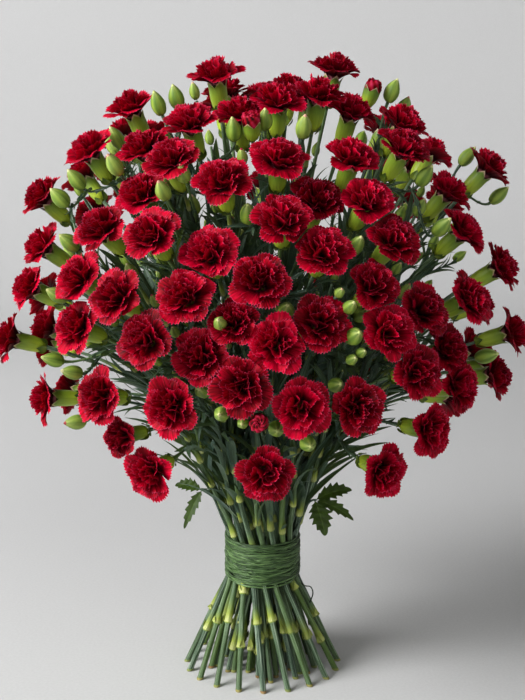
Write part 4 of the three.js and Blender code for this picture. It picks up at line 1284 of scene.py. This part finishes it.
def addTwig(skin, plan):
    points = np.vstack([[plan["low"]], curvePoints(plan["line"], 12)])
    t = np.linspace(0, 1, len(points))
    radii = np.interp(t, [0, 1], twigLook["radius"])
    addTube(skin, points, radii, twigLook["sides"], twigLook["stemFinish"], along=t)
    for tip, width in plan["leaves"]:
        addToothedLeaf(skin, spineAt(plan["line"], 0.96), tip, width)


def toothedLeafSkin():
    # broad filler leaf, grown thick: dark green and satin, with sunken side veins
    finish, node, along, across = newFinish("satinToothedLeaf", "along", "across")
    slant = node("Math", [node("Math", [across, 0.5], operation="SUBTRACT")], operation="ABSOLUTE")
    veins = node("Math", [along, slant], operation="SUBTRACT")
    veins = node("Math", [veins, 2 * math.pi * twigLook["long"] / twigLook["veinGap"]], operation="MULTIPLY")
    veins = node("MapRange", [node("Math", [veins], operation="SINE"), -1.0, 1.0, 0.0, 1.0])
    veins = node("Math", [node("Math", [veins, 6.0], operation="POWER"), 0.6], operation="MULTIPLY")
    rib = node("MapRange", [slant, 0.0625, 0.0, 0.0, 1.0])
    lines = node("Math", [veins, rib], operation="MAXIMUM")
    colour = node("ValToRGB", [mottle(node, twigLook["patch"], 3.0)], stops=twigLook["stops"])
    colour = washed(node, colour, [[lines, 0.0, 1.0, 0.5, twigLook["vein"]]])
    dress(node, colour, {"Roughness": 0.42, "IOR": 1.45}, relief=[lines, 0.6, 0.0006], sunk=True,
          glow=twigLook["through"])
    return finish


# The raffia tie.

tieLook = {
    "strands": 84, "steps": 120, "thick": 0.7, "wide": 1.25, "margin": 1.6,
    "core": 30.9, "coreInside": 29.9, "coreMargin": 0.8,
    "wander": 0.8, "cross": 7.5, "sagTop": 4.0, "sagBottom": 7.5,  # in front the wraps hang lower
    "section": ((-0.5, -0.2), (-0.3, 0.42), (0.3, 0.5), (0.5, 0.15), (0.25, -0.5), (-0.25, -0.5)),
    "looseEnd": [[29, -3, 88], [31.5, -5, 76], [36, -7, 71], [41.5, -8, 70], [43.5, -8, 64], [41, -7, 56],
                 [38, -6, 49]],
    "looseRadius": 0.55,
    # shadeAndLooseEnd is painted shade on the ring under the strands, and the loose end's own dark colour
    "stops": [(0.3, "#1f3318"), (0.55, "#3f5b2f"), (0.8, "#72905a")], "shadeAndLooseEnd": "#16220f",
    "fibres": (3.2, 0.3556, 200, 7.69, 17.0),
}


def addTie(skin):
    bottom, top = tie["bottom"], tie["top"]
    middleRadius = (tieLook["core"] + tie["radius"]) / 2 + 0.35
    turn = np.linspace(0, 2 * math.pi, tieLook["steps"], endpoint=False)
    outward = np.stack([np.cos(turn), np.sin(turn), 0 * turn], axis=-1)
    front = ((1 - np.sin(turn)) / 2) ** 1.5
    height = top - bottom - 2 * tieLook["margin"]
    for k in range(tieLook["strands"]):
        level = bottom + tieLook["margin"] + height * ((k + 0.5) / tieLook["strands"])
        phase = random.uniform(0, 2 * math.pi, 4)
        z = level + tieLook["cross"] * spread(-1, 1) * np.sin(turn + phase[0])
        z = z + tieLook["wander"] * np.sin(3 * turn + phase[1]) + 0.3 * np.sin(7 * turn + phase[2])
        z = np.clip(z, bottom + 0.8 + 0.6 * np.sin(phase[3]), top - 0.8 - 0.6 * np.sin(phase[1]))
        share = (z - bottom) / (top - bottom)
        z = z - front * (tieLook["sagBottom"] + (tieLook["sagTop"] - tieLook["sagBottom"]) * share)
        r = middleRadius + spread(-0.35, 0.55)
        r = r + 0.28 * np.sin(5 * turn + phase[3]) + 0.2 * np.sin(11 * turn + phase[1])
        line = np.stack([r * np.cos(turn), r * np.sin(turn), z], axis=-1)
        wide = tieLook["wide"] * (1 + 0.35 * np.sin(4 * turn + phase[0]) * spread(0.3, 1))
        lean = 0.35 * np.sin(6 * turn + phase[2])
        section = []
        for x, y in tieLook["section"]:
            out = (y * tieLook["thick"] + x * wide * lean)[:, None] * outward
            section.append(line + (x * wide)[:, None] * upright + out)
        ring = np.stack(section, axis=1)
        ring = np.vstack([ring, ring[:1]])
        skin.grid(ring, closed=True, along=np.linspace(0, 1, len(ring))[:, None],
                  across=np.linspace(0, 1, len(section)), tint=spread(0, 1))
    loose = throughPoints(np.array(tieLook["looseEnd"], float), 8)
    addTube(skin, loose, tieLook["looseRadius"], len(tieLook["section"]), 0,
            along=np.linspace(0, 1, len(loose)), tint=0.2, tone=0.8)
    # a ring under the strands, made dark through its tone: painted shade in the gaps between the wraps
    low, high = bottom + tieLook["coreMargin"], top - tieLook["coreMargin"]
    core, inside = tieLook["core"], tieLook["coreInside"]
    core = [[low, inside], [low, core], [(bottom + top) / 2, core + 0.2], [high, core], [high, inside],
            [low, inside]]
    ring = np.array([[[out * math.cos(a), out * math.sin(a), rise] for a in turn] for rise, out in core])
    upper = ring[..., 2] > (bottom + top) / 2 - 1
    ring[..., 2] -= front * np.where(upper, tieLook["sagTop"] + 0.6, tieLook["sagBottom"] - 0.6)
    skin.grid(ring, closed=True, along=0.5, across=0.5, tint=0.1, tone=1.0)


def raffia():
    # dyed raffia, split from dry palm leaf and wound by hand: long fibres with a satin shine, dusty green
    finish, node, along, across, tint, tone = newFinish("dyedRaffia", *measures)
    # the real fibres are finer, and are drawn as coarse as they show
    fibres = streaks(node, [across, along, tint], tieLook["fibres"], Detail=3.0)
    shade = node("Math", [tint, 0.3], operation="MULTIPLY")
    shade = node("Math", [fibres, 0.8, shade], operation="MULTIPLY_ADD")
    colour = node("ValToRGB", [shade], stops=tieLook["stops"])
    # painted shade: the ring under the strands goes dark, and the loose end takes the same dark colour as
    # its own
    colour = washed(node, colour, [[tone, 0.0, 1.0, 1.0, tieLook["shadeAndLooseEnd"]]])
    dress(node, colour, {"Roughness": 0.42, "IOR": 1.5}, relief=[fibres, 0.5, 0.0004])
    return finish


# Making the pieces.


def nodeName(kind, number):
    return f"{kind}_{number + 1:02d}"


petalSkin = petalFlesh()
greens = [cupSkin(), stemSkin(), strapLeaf(), cutStem(), budSkin(), budTip(), furledPetals()]
twigFinishes = [toothedLeafSkin(), greens[stemFinish]]

clusterCount = max(h["cluster"] for h in heads) + 1
faceCount = 0
for cluster in range(clusterCount):
    skin = Skin()
    for head in heads:
        if head["cluster"] == cluster:
            addBloom(skin, head)
    faceCount += skin.piece([petalSkin], "petals", nodeName("petals", cluster))
print("petals made:", clusterCount, "clusters,", faceCount, "faces")

skins = [Skin() for spray in sprays]
for k in halfOpen:
    wanted = layOnBall(*frontBuds[k], bud["behind"])[0]
    min(buds, key=lambda one: np.linalg.norm(one["at"] - wanted))["open"] = True
for row in smallBuds:
    addSmallBud(*row)
for spray, skin in zip(sprays, skins):
    addStem(skin, spray)
    for order in range(spray["name"], inner["stems"], len(sprays)):
        addInnerStem(skin, order)
    for head in spray["own"]:
        addCup(skin, head)
    for stalk in spray["stalks"]:
        addStalk(skin, stalk["line"], stalks["main"])
    for one in buds:
        if one["spray"] == spray["name"]:
            makeBud = addHalfOpenBud if "open" in one else addBud
            makeBud(skin, one["at"], one["facing"])
            addStalk(skin, one["line"], stalks["bud"])
    for one in spray["leaves"]:
        addStrapLeaf(skin, one)
    faceCount += skin.piece(greens, "stems", nodeName("spray", spray["name"]))
print("sprays made:", len(sprays), "stems")

skin = Skin()
addTie(skin)
faceCount += skin.piece([raffia()], "tie", "tie")
for plan in twigs:
    skin = Skin()
    addTwig(skin, plan)
    faceCount += skin.piece(twigFinishes, "leaves", plan["name"])
print("tie and twigs made:", faceCount, "faces in all")

# The paper sweep, the lights and the camera, in metres.

studio = {
    "floorRadius": 3.4, "wallHeight": 3.4, "bend": 0.8, "bendSteps": 12, "sides": 96,
    "paper": [(0.3, "#cdcdcd"), (0.7, "#d2d2d2")], "grain": 2.5,  # mm
    "lights": [  # place, size, power, what it is aimed at
        ["windowSoftbox", (-2.4, -1.35, 1.8), 2.3, 170.0, (0, 0, 0.25)],
        ["fillPanel", (1.2, -2.5, 1.9), 2.2, 9.0, (0, 0, 0.25)],
        ["wallLight", (-0.9, 0.9, 2.4), 1.6, 25.0, (-1.1, 3.2, 1.9)],
    ],
    "world": 0.012, "gamma": 0.9,
}
photoView = {"distance": 0.95, "height": 0.398, "aim": 0.275, "lens": 58.2, "sensor": 36, "far": 20}
scene = bpy.context.scene


def paper():
    # matt background paper, pressed without a coating: even, slightly rough, no shine
    finish, node = newFinish("mattPaper")
    colour = node("ValToRGB", [mottle(node, studio["grain"], 2.0)], stops=studio["paper"])
    dress(node, colour, {"Roughness": 0.95, "Specular IOR Level": 0.1})
    return finish


def makeStage():
    radius, bend, sides = studio["floorRadius"], studio["bend"], studio["sides"]
    profile = [[0.6, 0.0], [1.2, 0.0], [radius - bend, 0.0]]
    for k in range(studio["bendSteps"]):
        turn = (k + 1) / studio["bendSteps"] * math.pi / 2
        profile.append([radius - bend + bend * math.sin(turn), bend * (1 - math.cos(turn))])
    profile.append([radius, studio["wallHeight"]])
    points = [(0.0, 0.0, 0.0)]
    for r, z in profile:
        points += [(r * math.cos(a), r * math.sin(a), z) for a in turns(sides)]
    faces = [(0, 1 + k, 1 + (k + 1) % sides) for k in range(sides)]
    for row in range(len(profile) - 1):
        a, b = 1 + row * sides, 1 + (row + 1) * sides
        faces += [(a + k, b + k, b + (k + 1) % sides, a + (k + 1) % sides) for k in range(sides)]
    mesh = bpy.data.meshes.new("studioPaper")
    mesh.from_pydata(points, [], faces)
    mesh.polygons.foreach_set("use_smooth", np.ones(len(faces), bool))
    mesh.materials.append(paper())
    thing = bpy.data.objects.new("studioPaper", mesh)
    scene.collection.objects.link(thing)


def setUp(name, data, place, target):
    # a lamp or a camera in its place, turned towards what it is aimed at
    thing = bpy.data.objects.new(name, data)
    thing.location = place
    thing.rotation_euler = (Vector(place) - Vector(target)).to_track_quat("Z", "Y").to_euler()
    scene.collection.objects.link(thing)
    return thing


makeStage()
for name, place, size, power, target in studio["lights"]:
    lamp = bpy.data.lights.new(name, "AREA")
    lamp.shape = "DISK"
    lamp.size = size
    lamp.energy = power
    setUp(name, lamp, place, target).visible_camera = False
world = bpy.data.worlds.new("studioAir")
world.use_nodes = True
air = world.node_tree.nodes["Background"].inputs
air["Color"].default_value = (1, 1, 1, 1)
air["Strength"].default_value = studio["world"]
scene.world = world

camera = bpy.data.cameras.new("photoCamera")
camera.lens = photoView["lens"]
camera.sensor_width = photoView["sensor"]
camera.clip_end = photoView["far"]
x, y, _ = shift / 1000
place = (x, y - photoView["distance"], photoView["height"])
scene.camera = setUp("photoCamera", camera, place, (x, y, photoView["aim"]))
scene.view_settings.view_transform = "Standard"
scene.view_settings.gamma = studio["gamma"]
print("stage, lights and camera made")
